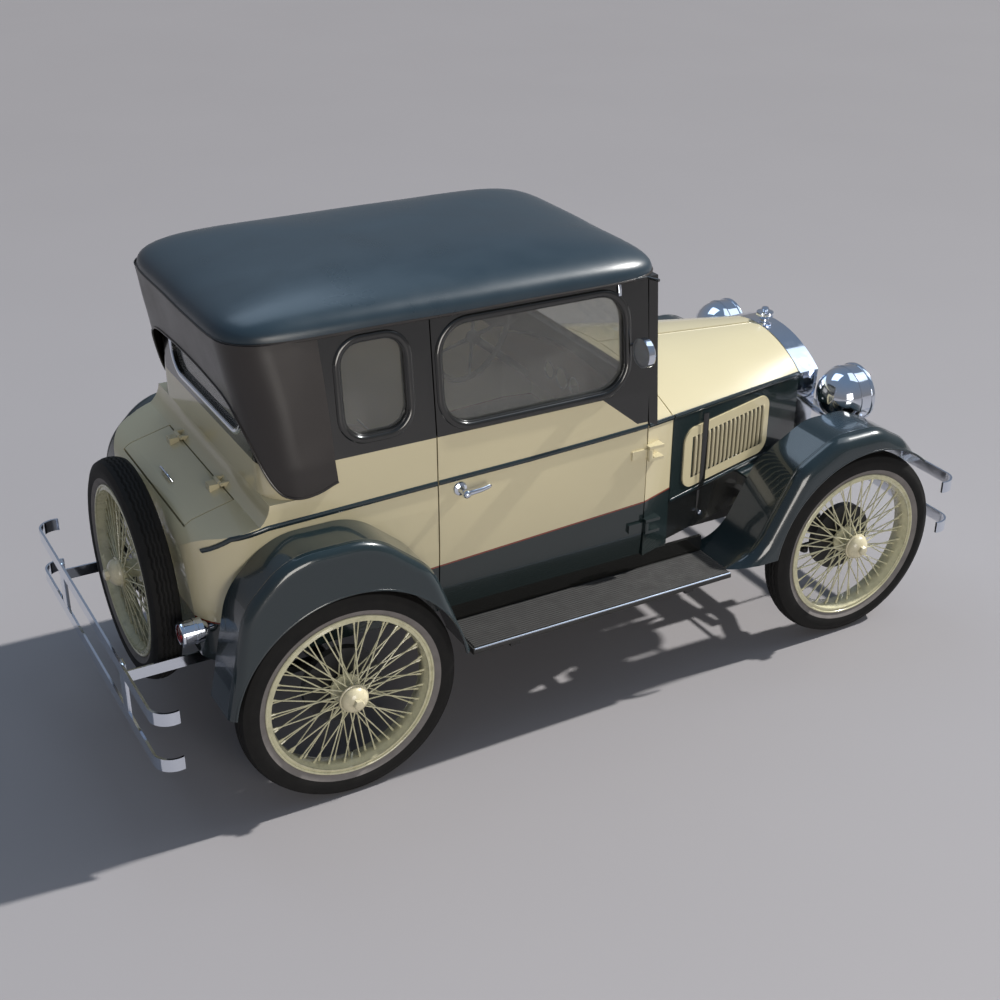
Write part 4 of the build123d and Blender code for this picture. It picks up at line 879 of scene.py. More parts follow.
# %% Wall, curtain and its welt
WALL_HALF, WALL_FOOT_Z = 0.6, 0.83
BELT_Z, HEAD_Z = 1.10, 1.712
CAB_BACK = -1.285
CURTAIN_ROUND, CURTAIN_FOOT_Z, CURTAIN_TALL = 0.150, 1.165, 0.555
FOLD_DEEP, FOLD_AT, FOLD_WIDE = 0.0022, 0.52, 0.16


def wall_y(z):
    """The outer wall's distance from the middle at a height."""
    z = np.asarray(z, float)
    low = WALL_HALF + 0.02037 * (z - WALL_FOOT_Z) - 0.1166 * (z - WALL_FOOT_Z) ** 2
    high = np.interp(z, [BELT_Z, SHOULDER_Z, HEAD_Z], [0.597, 0.594, 0.548])
    return np.where(z < BELT_Z, low, high)


HEM = np.array([
    (0.000, 1.512), (0.124, 1.510), (0.268, 1.500), (0.350, 1.492), (0.420, 1.470), (0.470, 1.425),
    (0.510, 1.350), (0.545, 1.265), (0.580, 1.195), (0.620, 1.172), (0.680, 1.168), (0.740, 1.178),
    (0.800, 1.205),
])


def curtain_plan(s, z):
    """A place on the curtain: s runs along its plan from the back's middle, round the corner, forwards."""
    rise = np.clip((z - CURTAIN_FOOT_Z) / CURTAIN_TALL, 0, 1)
    rear = CAB_BACK - 0.008 - 0.082 * rise ** 1.25
    half = wall_y(z) + 0.008 + 0.002 * rise
    flat = half - CURTAIN_ROUND
    bend = CURTAIN_ROUND * math.pi / 2
    turn = np.clip((s - flat) / CURTAIN_ROUND, 0, math.pi / 2)
    past = np.maximum(s - flat - bend, 0)
    x = rear + CURTAIN_ROUND * (1 - np.cos(turn)) + past
    y = np.minimum(s, flat) + CURTAIN_ROUND * np.sin(turn)
    return x, y


def curtain(columns=90, rows=36, thick=0.005):
    """Cloth from the roof's edge down to its hem, closed by an inner face, with faint folds at the corner."""
    s = np.linspace(0.0, HEM[-1, 0], columns)[None, :]
    hem = np.interp(s[0], HEM[:, 0], HEM[:, 1])
    hem = np.convolve(np.pad(hem, 3, "edge"), np.ones(7) / 7, "valid")[None, :]
    share = np.linspace(0, 1, rows)[:, None]
    z = ROOF_EDGE_Z - 0.002 + (hem - ROOF_EDGE_Z + 0.002) * share
    x, y = curtain_plan(s + 0 * z, z)
    near_corner = np.exp(-((s - FOLD_AT) / FOLD_WIDE) ** 2)
    fold = FOLD_DEEP * np.sin(26 * s + 5 * share) * np.sin(math.pi * share) * near_corner
    x, y = x - 0.7 * fold, y + 0.7 * fold
    outer = np.stack([x, y, z], -1)
    along = s[..., None] / 0.45
    inner = outer - np.array([-0.35, 1.0, 0]) * thick * np.minimum(1, along)
    inner = inner + np.array([1.0, 0, 0]) * thick * np.maximum(0, 1 - along)
    loop = np.concatenate([outer, inner[::-1]])
    faces = grid_quads(2 * rows, columns, round_rows=True)
    return join_grids((loop, faces), end_face(loop)), outer[-1]


def end_face(loop):
    """The narrow face that closes a folded sheet at its last column."""
    rows = loop.shape[0] // 2
    edge = np.stack([loop[:rows, -1], loop[::-1][:rows, -1]])
    return edge, grid_quads(2, rows)


cloth, hem_line = curtain()
add_piece("rear_curtain", "chassis", "side_leather", *both_sides(*cloth), slot="top_leather")
hem_line = np.concatenate([hem_line[:0:-1] * [1, -1, 1], hem_line])
welt = strand(dense(hem_line, 0.012), circle(0.0048, 10), (0, 0, 1))
add_piece("curtain_welt", "chassis", "side_leather", *welt, slot="top_leather")
print("curtain faces:", 2 * len(cloth[1]))

# %% [markdown]
# Raised beads frame every window. A bead is an oval carried along a rounded rectangle on the leaning wall.
# The belt moulding, the drip rail and the hood's lower lip are carried in the same way along the body.

# %% Window beads and seals
DOOR_WINDOW = ((-0.612, 1.312), (0.140, 1.672), 0.105)
QUARTER_WINDOW = ((-0.990, 1.345), (-0.755, 1.672), 0.075)
BACK_WINDOW = ((-0.360, 1.330), (0.360, 1.600), 0.090)
WALL_LEAN = math.atan(0.046 / 0.432)
WALL_NORMAL = np.array([0.0, math.cos(WALL_LEAN), math.sin(WALL_LEAN)])
WINDSHIELD_X = 0.2905
WINDSHIELD = ((-0.538, 1.280), (0.538, 1.280), (0.503, 1.667), (-0.503, 1.667))


def window_line(low, high, radius, grow=0.0, step=0.012):
    """A rounded rectangle's line, grown outwards, at even steps."""
    (x0, z0), (x1, z1) = low, high
    corners = [(x0 - grow, z0 - grow), (x1 + grow, z0 - grow), (x1 + grow, z1 + grow), (x0 - grow, z1 + grow)]
    return dense(rounded_line(corners, radius + grow, 10, closed=True), step, closed=True)


def wall_bead(window, grow, high, wide, lift=0.0):
    line = window_line(*window, grow=grow)
    spot = np.stack([line[:, 0], wall_y(line[:, 1]) + lift, line[:, 1]], -1)
    return strand(spot, oval(high, wide), WALL_NORMAL, True)


def window_beads(window):
    """A broad bead round the opening and a thin seal at the glass."""
    bead = wall_bead(window, 0.016, 0.0085, 0.0135)
    seal = wall_bead(window, 0.001, 0.005, 0.0035, -0.006)
    return join_grids(bead, seal)


def bead_across(x, line, high, wide):
    """A bead along a line of (y, z), in a plane that stands across the car."""
    return strand(np.insert(line, 0, x, axis=1), oval(high, wide), (1, 0, 0), True)


for side, sign in SIDES:
    for name, window, body in (("door", DOOR_WINDOW, side + "_door"), ("quarter", QUARTER_WINDOW, "chassis")):
        beads = on_side(window_beads(window), sign)
        add_piece(f"{side}_{name}_window_beads", body, "black_gloss", *beads)
back_bead = bead_across(CAB_BACK, window_line(*BACK_WINDOW, grow=0.014), 0.006, 0.010)
add_piece("back_window_bead", "chassis", "bright_metal", *back_bead)
screen = dense(rounded_line(WINDSHIELD, 0.03, 8, closed=True), 0.015, closed=True)
add_piece("windshield_bead", "chassis", "black_gloss", *bead_across(WINDSHIELD_X, screen, 0.005, 0.011))
print("pieces so far:", len(pieces))

# %% Belt moulding
COWL_X, TAIL_X = 0.252, -1.300
TAIL_BEND, TAIL_REACH = 0.24, 0.239
BELT = (
    (-1.500, 1.000), (-1.420, 1.058), (-1.300, 1.084), (-1.085, 1.089), (-0.869, 1.095), (-0.655, 1.101),
    (-0.272, 1.110), (0.007, 1.121), (COWL_X, 1.132), (1.215, 1.065),
)
HOOD_HALF = ((COWL_X, 0.598), (1.215, 0.330))
DRIP_Z, LIP_Z = 1.716, 0.752


def side_y(x, z):
    """The body's side: the wall, turned in round the tail, then the hood's straight taper in front."""
    tail = np.clip(TAIL_X - x, 0, TAIL_REACH)
    wall = wall_y(z) - TAIL_BEND + np.sqrt(TAIL_BEND ** 2 - tail ** 2)
    return np.where(x > COWL_X, np.interp(x, *zip(*HOOD_HALF)), wall)


def moulding(start, end, high=0.0065, wide=0.0105, lift=0.0, line=BELT):
    """A raised strip along a line of (x, z) on the body, between two places along the car."""
    x = np.arange(start, end + 1e-9, (end - start) / max(2, round((end - start) / 0.02)))
    z = np.interp(x, *zip(*line))
    return strand(np.stack([x, side_y(x, z) + lift, z], -1), oval(high, wide), (0, 1, 0))


BELT_RUNS = (
    ("tail", -1.500, -0.656, "chassis"), ("door", -0.649, 0.246, "{side}_door"),
    ("cowl", 0.254, 0.393, "chassis"), ("hood", 0.402, 1.208, "{side}_hood"),
)
drip_rail = moulding(-1.120, 0.262, 0.006, 0.006, 0.004, ((-1.28, DRIP_Z), (0.285, DRIP_Z)))
hood_lip = moulding(0.402, 1.208, 0.0045, 0.007, 0.001, ((0.40, LIP_Z), (1.21, LIP_Z)))
for side, sign in SIDES:
    for name, start, end, body in BELT_RUNS:
        run = on_side(moulding(start, end), sign)
        add_piece(f"{side}_{name}_belt", body.format(side=side), "fender_gloss", *run)
    add_piece(f"{side}_drip_rail", "chassis", "black_gloss", *on_side(drip_rail, sign))
    add_piece(f"{side}_hood_lip", side + "_hood", "fender_gloss", *on_side(hood_lip, sign))
print("belt runs:", len(BELT_RUNS) * 2)

# %% [markdown]
# The louvres are pressed blades, one behind each slot. Across a blade the skin rises as sin(pi u)^0.7 and
# leans to its open edge; up and down it is level and closes at both ends as 1 - (2v - 1)^8.

# %% Louvres and the hood's straps
LOUVRE_X = SLOT_FIRST + SLOT_PITCH * np.arange(SLOT_COUNT)
LOUVRE_LEAD, LOUVRE_TALL, LOUVRE_WIDE, LOUVRE_OUT = 0.0102, 0.187, 0.0165, 0.0075
STRAP_X, STRAP_WIDE, STRAP_THICK = 0.585, 0.026, 0.004
STRAP_SIDE = side_y(STRAP_X, 0.9)


def louvre_blades(cells_u=8, cells_v=22):
    """All the blades at once: out = 7.5 mm sin(pi u)^0.7 (0.55 + 0.45 (1 - u)) (1 - (2v - 1)^8)."""
    u = np.linspace(0, 1, cells_u + 1)[None, :, None]
    v = np.linspace(0, 1, cells_v + 1)[None, None, :]
    x = LOUVRE_X[:, None, None] + LOUVRE_LEAD + LOUVRE_WIDE * u + 0 * v
    z = SLOT_Z + LOUVRE_TALL * (v - 0.5) + 0 * x
    ends = 1 - (2 * v - 1) ** 8
    rise = np.sin(math.pi * np.clip(u, 0, 1)) ** 0.7 * (0.55 + 0.45 * (1 - u)) * ends
    back = side_y(x, z) + 0.0045
    y = back + 0.0017 * ends + LOUVRE_OUT * rise
    front, rear = np.stack([x, y, z], -1), np.stack([x, back, z], -1)
    shells = np.concatenate([front, rear[:, ::-1]], 1)
    faces = grid_quads(*shells.shape[1:3], round_rows=True)
    return join_grids(*[(shell, faces) for shell in shells])


def flat_strip(line, wide, thick, side):
    """A flat band with soft edges, carried along a line."""
    edge = np.array([(0.5, 0.35), (0.42, 0.5), (-0.42, 0.5), (-0.5, 0.35), (-0.5, -0.5), (0.5, -0.5)])
    return strand(dense(line, 0.02), edge * [wide, thick], side)


def strap_run(places):
    """A run of the strap through places given as (out from the body's side, height)."""
    line = [(STRAP_X, STRAP_SIDE + out, z) for out, z in places]
    return flat_strip(line, STRAP_WIDE, STRAP_THICK, (1, 0, 0))


KNOB_PROFILE = ((0.0, 0.0), (0.008, 0.0), (0.008, 0.006), (0.011, 0.009), (0.010, 0.014), (0.0, 0.017))
blades = louvre_blades()
strap = strap_run([(0.016, 1.085), (0.0165, 0.93), (0.0165, 0.78), (0.006, 0.749)])
stay = strap_run([(0.004, 0.738), (0.0035, 0.66), (0.0035, 0.60)])
knob = moved(lathe(KNOB_PROFILE, 24), [STRAP_X, STRAP_SIDE + 0.005, 0.635])
for side, sign in SIDES:
    # The blades take the hood's finish, so their leading edges carry the painted shade of the slots.
    add_piece(side + "_louvres", side + "_hood", "hood_two_tone", *on_side(blades, sign), slot="two_tone")
    add_piece(side + "_hood_strap", side + "_hood", "black_gloss", *on_side(strap, sign))
    add_piece(side + "_strap_stay", "chassis", "black_gloss", *on_side(stay, sign))
    add_piece(side + "_strap_knob", "chassis", "bright_metal", *on_side(knob, sign))
print("louvres a side:", len(LOUVRE_X))

# %% [markdown]
# Lamps: a rim, a fluted lens, a reflector and a bulb. The lens bulges as a ball, and its flutes are a wave
# of the sideways place, 1.2 mm deep and 9 mm apart. The fluting bends what shows of the reflector behind.

# %% Headlights and tail lights
LAMP = np.array([1.365, 0.454, 0.985])
LENS_R = 0.1125


def lens_face(rings=26, steps=96):
    """Out along x: 16 mm (1 - r^2 / R^2) + 0.6 mm (1 + cos(2 pi y / 9 mm)), and a shallower bulge behind."""
    radius = np.linspace(0, LENS_R, rings)[:, None]
    angle = around(steps)[None, :]
    y, z = radius * np.cos(angle), radius * np.sin(angle)
    fade = np.clip((LENS_R - radius) / 0.01, 0, 1)
    ball = 1 - (radius / LENS_R) ** 2
    x = 0.016 * ball + 0.0006 * (1 + np.cos(2 * math.pi * y / 0.009)) * fade
    front = np.stack([x + 0.0612, y, z], -1)
    back = np.stack([0.013 * ball + 0.0575 + 0 * y, y, z], -1)
    return np.concatenate([front, back[::-1]]), grid_quads(2 * rings, steps, round_cols=True)


LAMP_RIM = (
    (0.1115, 0.052), (0.1235, 0.050), (0.1262, 0.056), (0.1255, 0.064), (0.1205, 0.070), (0.1135, 0.070),
    (0.1115, 0.066), (0.1115, 0.052),
)
BOWL_CURVE = [(0.108 * t, -0.062 + 0.108 * t * t) for t in np.linspace(0, 1, 18)]
BOWL = [*BOWL_CURVE, (0.1095, 0.046), (0.1095, 0.040), *[(r, x - 0.0015) for r, x in BOWL_CURVE[::-1]]]
BULB = (
    (0.0, -0.058), (0.009, -0.058), (0.009, -0.040), (0.013, -0.030), (0.015, -0.020), (0.011, -0.009),
    (0.0, -0.004),
)
LAMP_BAND = ((0.1222, -0.006), (0.1245, -0.004), (0.1245, 0.004), (0.1222, 0.006))
for name, finish_name, shape, old in (
    ("lamp_lenses", "lens", lens_face(), "headlight_lenses"),
    ("lamp_rims", "bright_metal", lathe(LAMP_RIM, 96, "x"), None),
    ("lamp_reflectors", "bright_metal", lathe(BOWL, 72, "x"), None),
    ("lamp_bulbs", "lens", lathe(BULB, 24, "x"), None),
    ("lamp_bands", "bright_metal", lathe(LAMP_BAND, 96, "x"), None),
):
    piece = add_piece(name, "chassis", finish_name, *both_sides(*moved(shape, LAMP)))
    if old:
        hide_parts(old)

TAIL_LAMP = np.array([-1.600, 0.500, 0.700])
TAIL_BULGE = [(0.036 * math.cos(t), -0.004 - 0.011 * math.sin(t)) for t in np.linspace(0.1, math.pi / 2, 10)]
TAIL_LENS = [(0.0, 0.001), (0.036, 0.001), (0.036, -0.004), *TAIL_BULGE]
TAIL_RIM = (
    (0.035, 0.004), (0.0452, 0.004), (0.0462, -0.002), (0.044, -0.008), (0.039, -0.009), (0.035, -0.005),
    (0.035, 0.004),
)
TAIL_RING = ((0.0438, 0.040), (0.0462, 0.042), (0.0462, 0.050), (0.0438, 0.052))
for name, finish_name, profile, steps, slot in (
    ("lenses", "red_lens", TAIL_LENS, 48, "lens"), ("rims", "bright_metal", TAIL_RIM, 64, None),
    ("rings", "bright_metal", TAIL_RING, 64, None),
):
    shape = both_sides(*moved(lathe(profile, steps, "x"), TAIL_LAMP))
    add_piece("tail_light_" + name, "chassis", finish_name, *shape, slot=slot)
print("pieces so far:", len(pieces))

# %% [markdown]
# The radiator's core shows a grid of fins in its shell. Each upright fin ends at the shell's arch, whose
# height is a circle through the belt on both sides and the crown.

# %% Radiator core, cap and shell beads
SHELL_HALF, SHELL_BELT, SHELL_CROWN = 0.288, 1.065, 1.146
CORE_X, BEAD_X, CAP_X = 1.292, 1.3155, 1.265


def arch_z(y):
    """Height of the arch: the circle through (half, belt) and (0, crown)."""
    rise = SHELL_CROWN - SHELL_BELT
    radius = (SHELL_HALF ** 2 + rise ** 2) / (2 * rise)
    return SHELL_CROWN - radius + np.sqrt(radius ** 2 - np.asarray(y) ** 2)


fin_y = np.arange(-0.270, 0.2701, 0.009)
row_z = np.arange(0.775, 1.060, 0.012)
uprights = rods(spots(CORE_X, fin_y, 0.768), spots(CORE_X, fin_y, arch_z(fin_y) - 0.006), 0.0017, 5)
levels = rods(spots(CORE_X - 0.001, -0.272, row_z), spots(CORE_X - 0.001, 0.272, row_z), 0.0014, 5)
add_piece("radiator_fins", "chassis", "core", *join_grids(uprights, levels))
across = np.linspace(-0.286, 0.286, 60)
arch = spots(BEAD_X, across, arch_z(across))
legs = np.array([(BEAD_X, 0.2875, 1.05), (BEAD_X, 0.268, 0.766)])
frame_line = dense(np.concatenate([legs[::-1] * [1, -1, 1], arch, legs]), 0.012)
inner_bead = strand(frame_line, circle(0.0055, 10), (1, 0, 0))
add_piece("radiator_inner_bead", "chassis", "bright_metal", *inner_bead)
CAP_ROWS = np.array([
    (0.0, 1.206, 0), (0.030, 1.206, 0.2), (0.036, 1.209, 1), (0.038, 1.214, 1), (0.038, 1.222, 1),
    (0.036, 1.227, 1), (0.026, 1.229, 0.2), (0.014, 1.230, 0), (0.011, 1.233, 0), (0.015, 1.237, 0),
    (0.017, 1.242, 0), (0.014, 1.247, 0), (0.008, 1.2495, 0), (0.0, 1.250, 0),
])
CAP_NECK = (
    (0.0, 1.172), (0.0235, 1.172), (0.024, 1.186), (0.0215, 1.190), (0.0215, 1.200), (0.025, 1.207),
    (0.0, 1.207),
)


def fluted_cap(steps=144):
    """A turned cap whose rows wave by their third value w: r = r0 (1 + 0.03 w cos 24 a)."""
    row_r, row_height, wave = CAP_ROWS.T
    angle = around(steps)[:, None]
    radius = row_r * (1 + 0.03 * wave * np.cos(24 * angle))
    points = np.stack([radius * np.cos(angle), radius * np.sin(angle), row_height + 0 * angle], -1)
    return points, grid_quads(steps, len(CAP_ROWS), round_rows=True)


cap_shape = moved(join_grids(fluted_cap(), lathe(CAP_NECK, 48, "z")), [CAP_X, 0, 0])
cap = add_piece("radiator_cap_skin", "chassis", "bright_metal", *cap_shape)
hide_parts("radiator_cap")
print("fins:", len(fin_y) + len(row_z))

# %% [markdown]
# Fenders have a rolled edge round each opening and a fine crease along the shoulder. The running boards
# carry a ribbed mat: its height is a row of sloping steps across the board.

# %% Fender edges and running boards
FENDER_OUT = 0.800
REAR_LINE = (
    (-1.562, 0.430), (-1.466, 0.890), (-1.300, 1.056), (-0.985, 1.056), (-0.765, 0.872), (-0.612, 0.470),
)
FRONT_LINE = (
    (0.562, 0.492), (0.700, 0.530), (0.890, 0.862), (1.080, 0.964), (1.300, 0.964), (1.450, 0.880),
    (1.548, 0.765),
)


def opening_edge(x, radius, start, end):
    """The arch round a wheel: a circle about the axle, from one angle to the other."""
    return np.insert(arc((x, TYRE_R), radius, start, end, 90), 1, FENDER_OUT - 0.0035, axis=1)


def crease(corners, bend, y, drop, trim):
    """The fender's outline, moved inwards by the drop and cut short, at one place across the car."""
    line = dense(rounded_line(corners, bend, 14), 0.015)[trim:-trim]
    way = np.gradient(line, axis=0)
    way /= np.linalg.norm(way, axis=1, keepdims=True)
    line = line + np.column_stack([way[:, 1], -way[:, 0]]) * drop
    return np.insert(line, 1, y, axis=1)


lines = (
    ("rear", opening_edge(REAR_X, 0.4485, 9, 171), REAR_LINE, 0.25, 0.764),
    ("front", opening_edge(FRONT_X, 0.4615, 49, 171), FRONT_LINE, 0.19, 0.738),
)
for name, rolled, corners, bend, crease_y in lines:
    roll = strand(rolled, circle(0.0046, 10), (0, 1, 0))
    add_piece(name + "_fender_rolls", "chassis", "fender_gloss", *both_sides(*roll))
    ridge = strand(crease(corners, bend, crease_y, 0.0006, 6), oval(0.0055, 0.0022, 10), (0, 1, 0))
    add_piece(name + "_fender_creases", "chassis", "fender_gloss", *both_sides(*ridge))


def ribbed_mat(x0=-0.606, x1=0.556, y0=0.582, y1=0.778, ribs=15):
    """Height over the board: 2.3 mm, and 2.4 mm more on each rib, with sloping sides; the ends go down."""
    low, end_z, flat = 0.4902, 0.4912, 0.4925
    step = np.array([0.0, 0.12, 0.30, 0.70, 0.88])
    up = np.array([0.0, 0.0, 1.0, 1.0, 0.0])
    y = (y0 + (y1 - y0) / ribs * (np.arange(ribs)[:, None] + step)).ravel()
    y = np.concatenate([[y0, y0], y, [y1, y1]])
    z = np.concatenate([[low, flat], np.tile(up, ribs) * 0.0024 + flat, [flat, low]])
    x = np.array([x0, x0 + 0.003, x1 - 0.003, x1])[:, None]
    at_end = np.array([True, False, False, True])[:, None]
    return capped(spots(x, y, np.where(at_end, np.minimum(z, end_z), z)))


add_piece("running_board_mats", "chassis", "board_rubber", *both_sides(*ribbed_mat()))
trim_line = dense([(-0.608, 0.7855, 0.4895), (0.558, 0.7855, 0.4895)], 0.05)
trim = strand(trim_line, oval(0.0042, 0.0036, 12), (0, 1, 0))
add_piece("running_board_trims", "chassis", "bright_metal", *both_sides(*trim))
print("pieces so far:", len(pieces))

# %% [markdown]
# The cushions are stuffed cloth. Each is a box blown up as a superellipsoid: the three signed powers
# |cos|^e and |sin|^e with a small e keep it nearly a box with round edges. The pleats are grooves along its
# face, which also falls a little towards its two ends.

# %% Seats
SQUARENESS = 0.22
PLEATS = 9


def power(value, e):
    return np.sign(value) * np.abs(value) ** e


def cushion(center, half, face, taper=0.0, rows=72, steps=160):
    """A superellipsoid: half-lengths times signed powers of the two angles' sines and cosines, less pleats.

    The taper is how much of its depth the cushion has lost at its top, with its rear face upright."""
    a = np.linspace(-math.pi / 2, math.pi / 2, rows)[:, None]
    b = around(steps)[None, :]
    x = power(np.cos(a), SQUARENESS) * power(np.cos(b), SQUARENESS)
    y = power(np.cos(a), SQUARENESS) * power(np.sin(b), SQUARENESS)
    z = power(np.sin(a), SQUARENESS) + 0 * b
    unit = np.stack([x, y, z], -1)
    groove = np.abs(np.cos(PLEATS * math.pi * (y + 1) / 2)) ** 14
    out = unit * np.asarray(half)
    axis = 2 if face == "up" else 0
    on_face = np.clip(unit[..., axis] * 1.6 - 0.6, 0, 1)
    out[..., axis] -= (0.011 * groove + 0.010 * np.abs(y) ** 4) * on_face
    share = np.clip((z + 1) / 2, 0, 1)
    out[..., 0] = (out[..., 0] + half[0]) * (1 - taper * share) - half[0]
    points = out + np.asarray(center)
    return points, grid_quads(rows, steps, round_cols=True)


seat_shape = cushion((-0.7455, 0, 0.8205), (0.265, 0.530, 0.0605), "up")
seat = add_piece("seat_cushion_skin", "chassis", "seat_cloth", *seat_shape)
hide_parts("seat_cushion")
back_shape = cushion((-1.125, 0, 1.045), (0.113, 0.514, 0.285), "front", 0.43)
back = add_piece("seat_back_skin", "chassis", "seat_cloth", *back_shape)
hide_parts("seat_back")
piping_line = dense([(-0.484, -0.50, 0.874), (-0.484, 0.50, 0.874)], 0.02)
add_piece("seat_piping", "chassis", "top_leather", *strand(piping_line, circle(0.0042, 8), (0, 0, 1)))
print("seat faces:", len(seat.data.polygons))

# %% Steering wheel, dials, pedals and levers
STEER_HUB = np.array([-0.040, 0.300, 1.240])
STEER_FOOT = np.array([0.381, 0.300, 0.900])
STEER_WAY = (STEER_HUB - STEER_FOOT) / np.linalg.norm(STEER_HUB - STEER_FOOT)
STEER_R = 0.200


def square_to(way):
    """Two directions across a line, and the line: the axes of a plane that faces along it."""
    side = np.cross(way, [0.0, 0.0, 1.0])
    side /= np.linalg.norm(side)
    return np.stack([side, np.cross(way, side), way])


def steering_rim(steps=192, sides=16):
    """A ring whose section waves on its far side: there r = 11.8 mm - 0.8 mm (1 + cos 36 a)."""
    a, b = around(steps)[:, None], around(sides)[None, :]
    under = np.clip(-np.sin(b), 0, 1)
    r = 0.0118 - 0.0016 * under * (1 + np.cos(36 * a)) / 2
    flat = STEER_R + r * np.cos(b)
    return spots(flat * np.cos(a), flat * np.sin(a), r * np.sin(b)), grid_quads(steps, sides, True, True)


def ring_of(radius, angle):
    return spots(radius * np.cos(angle), radius * np.sin(angle), 0.0)


STEER_BOSS = (
    (0.0, -0.022), (0.027, -0.022), (0.028, -0.020), (0.031, -0.008), (0.031, 0.006), (0.026, 0.012),
    (0.020, 0.014), (0.020, 0.018), (0.012, 0.022), (0.0, 0.023),
)
turns = np.radians(np.arange(4) * 90 + 45)
arms = rods(ring_of(0.026, turns), ring_of(STEER_R - 0.006, turns), (0.0085, 0.0060), 12)
wheel = join_grids(steering_rim(), lathe(STEER_BOSS, 40, "z"), arms)
wheel = (wheel[0] @ square_to(STEER_WAY) + STEER_HUB, wheel[1])
wheel_piece = add_piece("steering_wheel_skin", "steering_wheel", "wheel_black", *wheel)
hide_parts("steering_wheel")
DIAL = (
    (0.0, 0.0), (0.040, 0.0), (0.043, 0.002), (0.043, 0.006), (0.039, 0.008), (0.037, 0.005), (0.0, 0.005),
)
DIAL_X, DIAL_Z = 0.2235, 1.115
DIAL_PLACES = ((0.10, 0.9), (0.0, 1.1), (-0.10, 0.9))
dials = [moved(lathe(DIAL, 48, "x"), [DIAL_X, y, DIAL_Z], [-1, size, size]) for y, size in DIAL_PLACES]
add_piece("dials", "chassis", "bright_metal", *join_grids(*dials))
PEDAL_PAD = ((0.0, 0.0), (0.034, 0.0), (0.036, 0.004), (0.034, 0.009), (0.0, 0.010))
PEDAL_TILT = square_to(np.array([-0.70710678, 0, 0.70710678]))
pad = lathe(PEDAL_PAD, 32, "z")
pedals = []
for y in (0.36, 0.27, 0.19):
    foot = (0.255, y, 0.68)
    pedals += [rods([(0.375, y, 0.80)], [foot], 0.007, 10), (pad[0] @ PEDAL_TILT + foot, pad[1])]
add_piece("pedals", "chassis", "chassis_black", *join_grids(*pedals))
lever_line = rounded_line([(0.10, 0.02, 0.598), (0.06, 0.02, 0.80), (-0.10, 0.04, 1.02)], 0.12, 14)
lever = strand(dense(lever_line, 0.012), circle(0.0065, 12), (0, 1, 0))
add_piece("gear_lever", "chassis", "chassis_black", *lever)
GEAR_KNOB = (
    (0.0, -0.02), (0.010, -0.019), (0.019, -0.010), (0.022, 0.0), (0.019, 0.012), (0.010, 0.020),
    (0.0, 0.022),
)
gear_knob = moved(lathe(GEAR_KNOB, 28, "z"), [-0.105, 0.04, 1.026])
add_piece("gear_knob", "chassis", "wheel_black", *gear_knob)
brake_line = rounded_line([(0.06, -0.06, 0.598), (0.04, -0.06, 0.78), (-0.06, -0.06, 0.92)], 0.10, 12)
brake = strand(dense(brake_line, 0.012), oval(0.008, 0.005, 12), (0, 1, 0))
add_piece("hand_brake", "chassis", "chassis_black", *brake)
print("cabin pieces done")

# %% [markdown]
# Bumper clamps, door furniture, and the bolts of the frame, its arms and the running boards. Bolts share one
# shape: a six-sided head with a round washer face under it.

# %% Bumper clamps
CLAMP_X, CLAMP_BOLT_X = 1.7893, 1.797


def clamp_plate(x, y, z0, z1, facing, wide=0.068, steps=28):
    """A stadium-shaped plate with a rolled edge, facing forwards or backwards."""
    half = wide / 2
    upper = arc((0, z1 - half), half, 0, 180, steps)
    lower = arc((0, z0 + half), half, 180, 360, steps)
    line = np.concatenate([upper, lower])
    middle = np.array([0.0, (z0 + z1) / 2])
    rows = [spots(x, y, np.full(len(line), middle[1]))]
    for depth, grow in ((0.0, 0.90), (0.0, 1.0), (0.006, 1.0), (0.0095, 0.93), (0.0105, 0.75)):
        ring = middle + (line - middle) * [grow, 1 - (1 - grow) * wide / (z1 - z0)]
        rows.append(spots(x + facing * depth, ring[:, 0] + y, ring[:, 1]))
    rows.append(rows[0] + [facing * 0.0107, 0, 0])
    return np.stack(rows), grid_quads(len(rows), len(line), round_cols=True)


def bolts(places, way, size, tall):
    """Heads at these places that face one way: a washer face, then a six-sided prism with a bevelled top."""
    washer_r = size * 1.12
    washer = lathe([(0.0, 0.0), (washer_r, 0.0), (washer_r, 0.0015), (0.0, 0.0015)], 20, "z")
    head = lathe([(0.0, 0.0), (size, 0.0), (size, tall * 0.8), (size * 0.82, tall), (0.0, tall)], 6, "z")
    one = join_grids(washer, head)
    axes = square_to(np.asarray(way, float)) if abs(way[2]) < 0.9 else np.eye(3) * [1, 1, np.sign(way[2])]
    return join_grids(*[(one[0] @ axes + np.asarray(p), one[1]) for p in places])


clamps = []
for y in (-0.4, 0.4):
    for facing, low, high, bolt_z in ((-1, 0.345, 0.588, 0.466), (1, 0.365, 0.618, 0.491)):
        clamps.append(clamp_plate(facing * CLAMP_X, y, low, high, facing))
        clamps.append(bolts([(facing * CLAMP_BOLT_X, y, bolt_z)], (facing, 0, 0), 0.0085, 0.0012))
add_piece("bumper_clamps", "chassis", "bright_metal", *join_grids(*clamps))

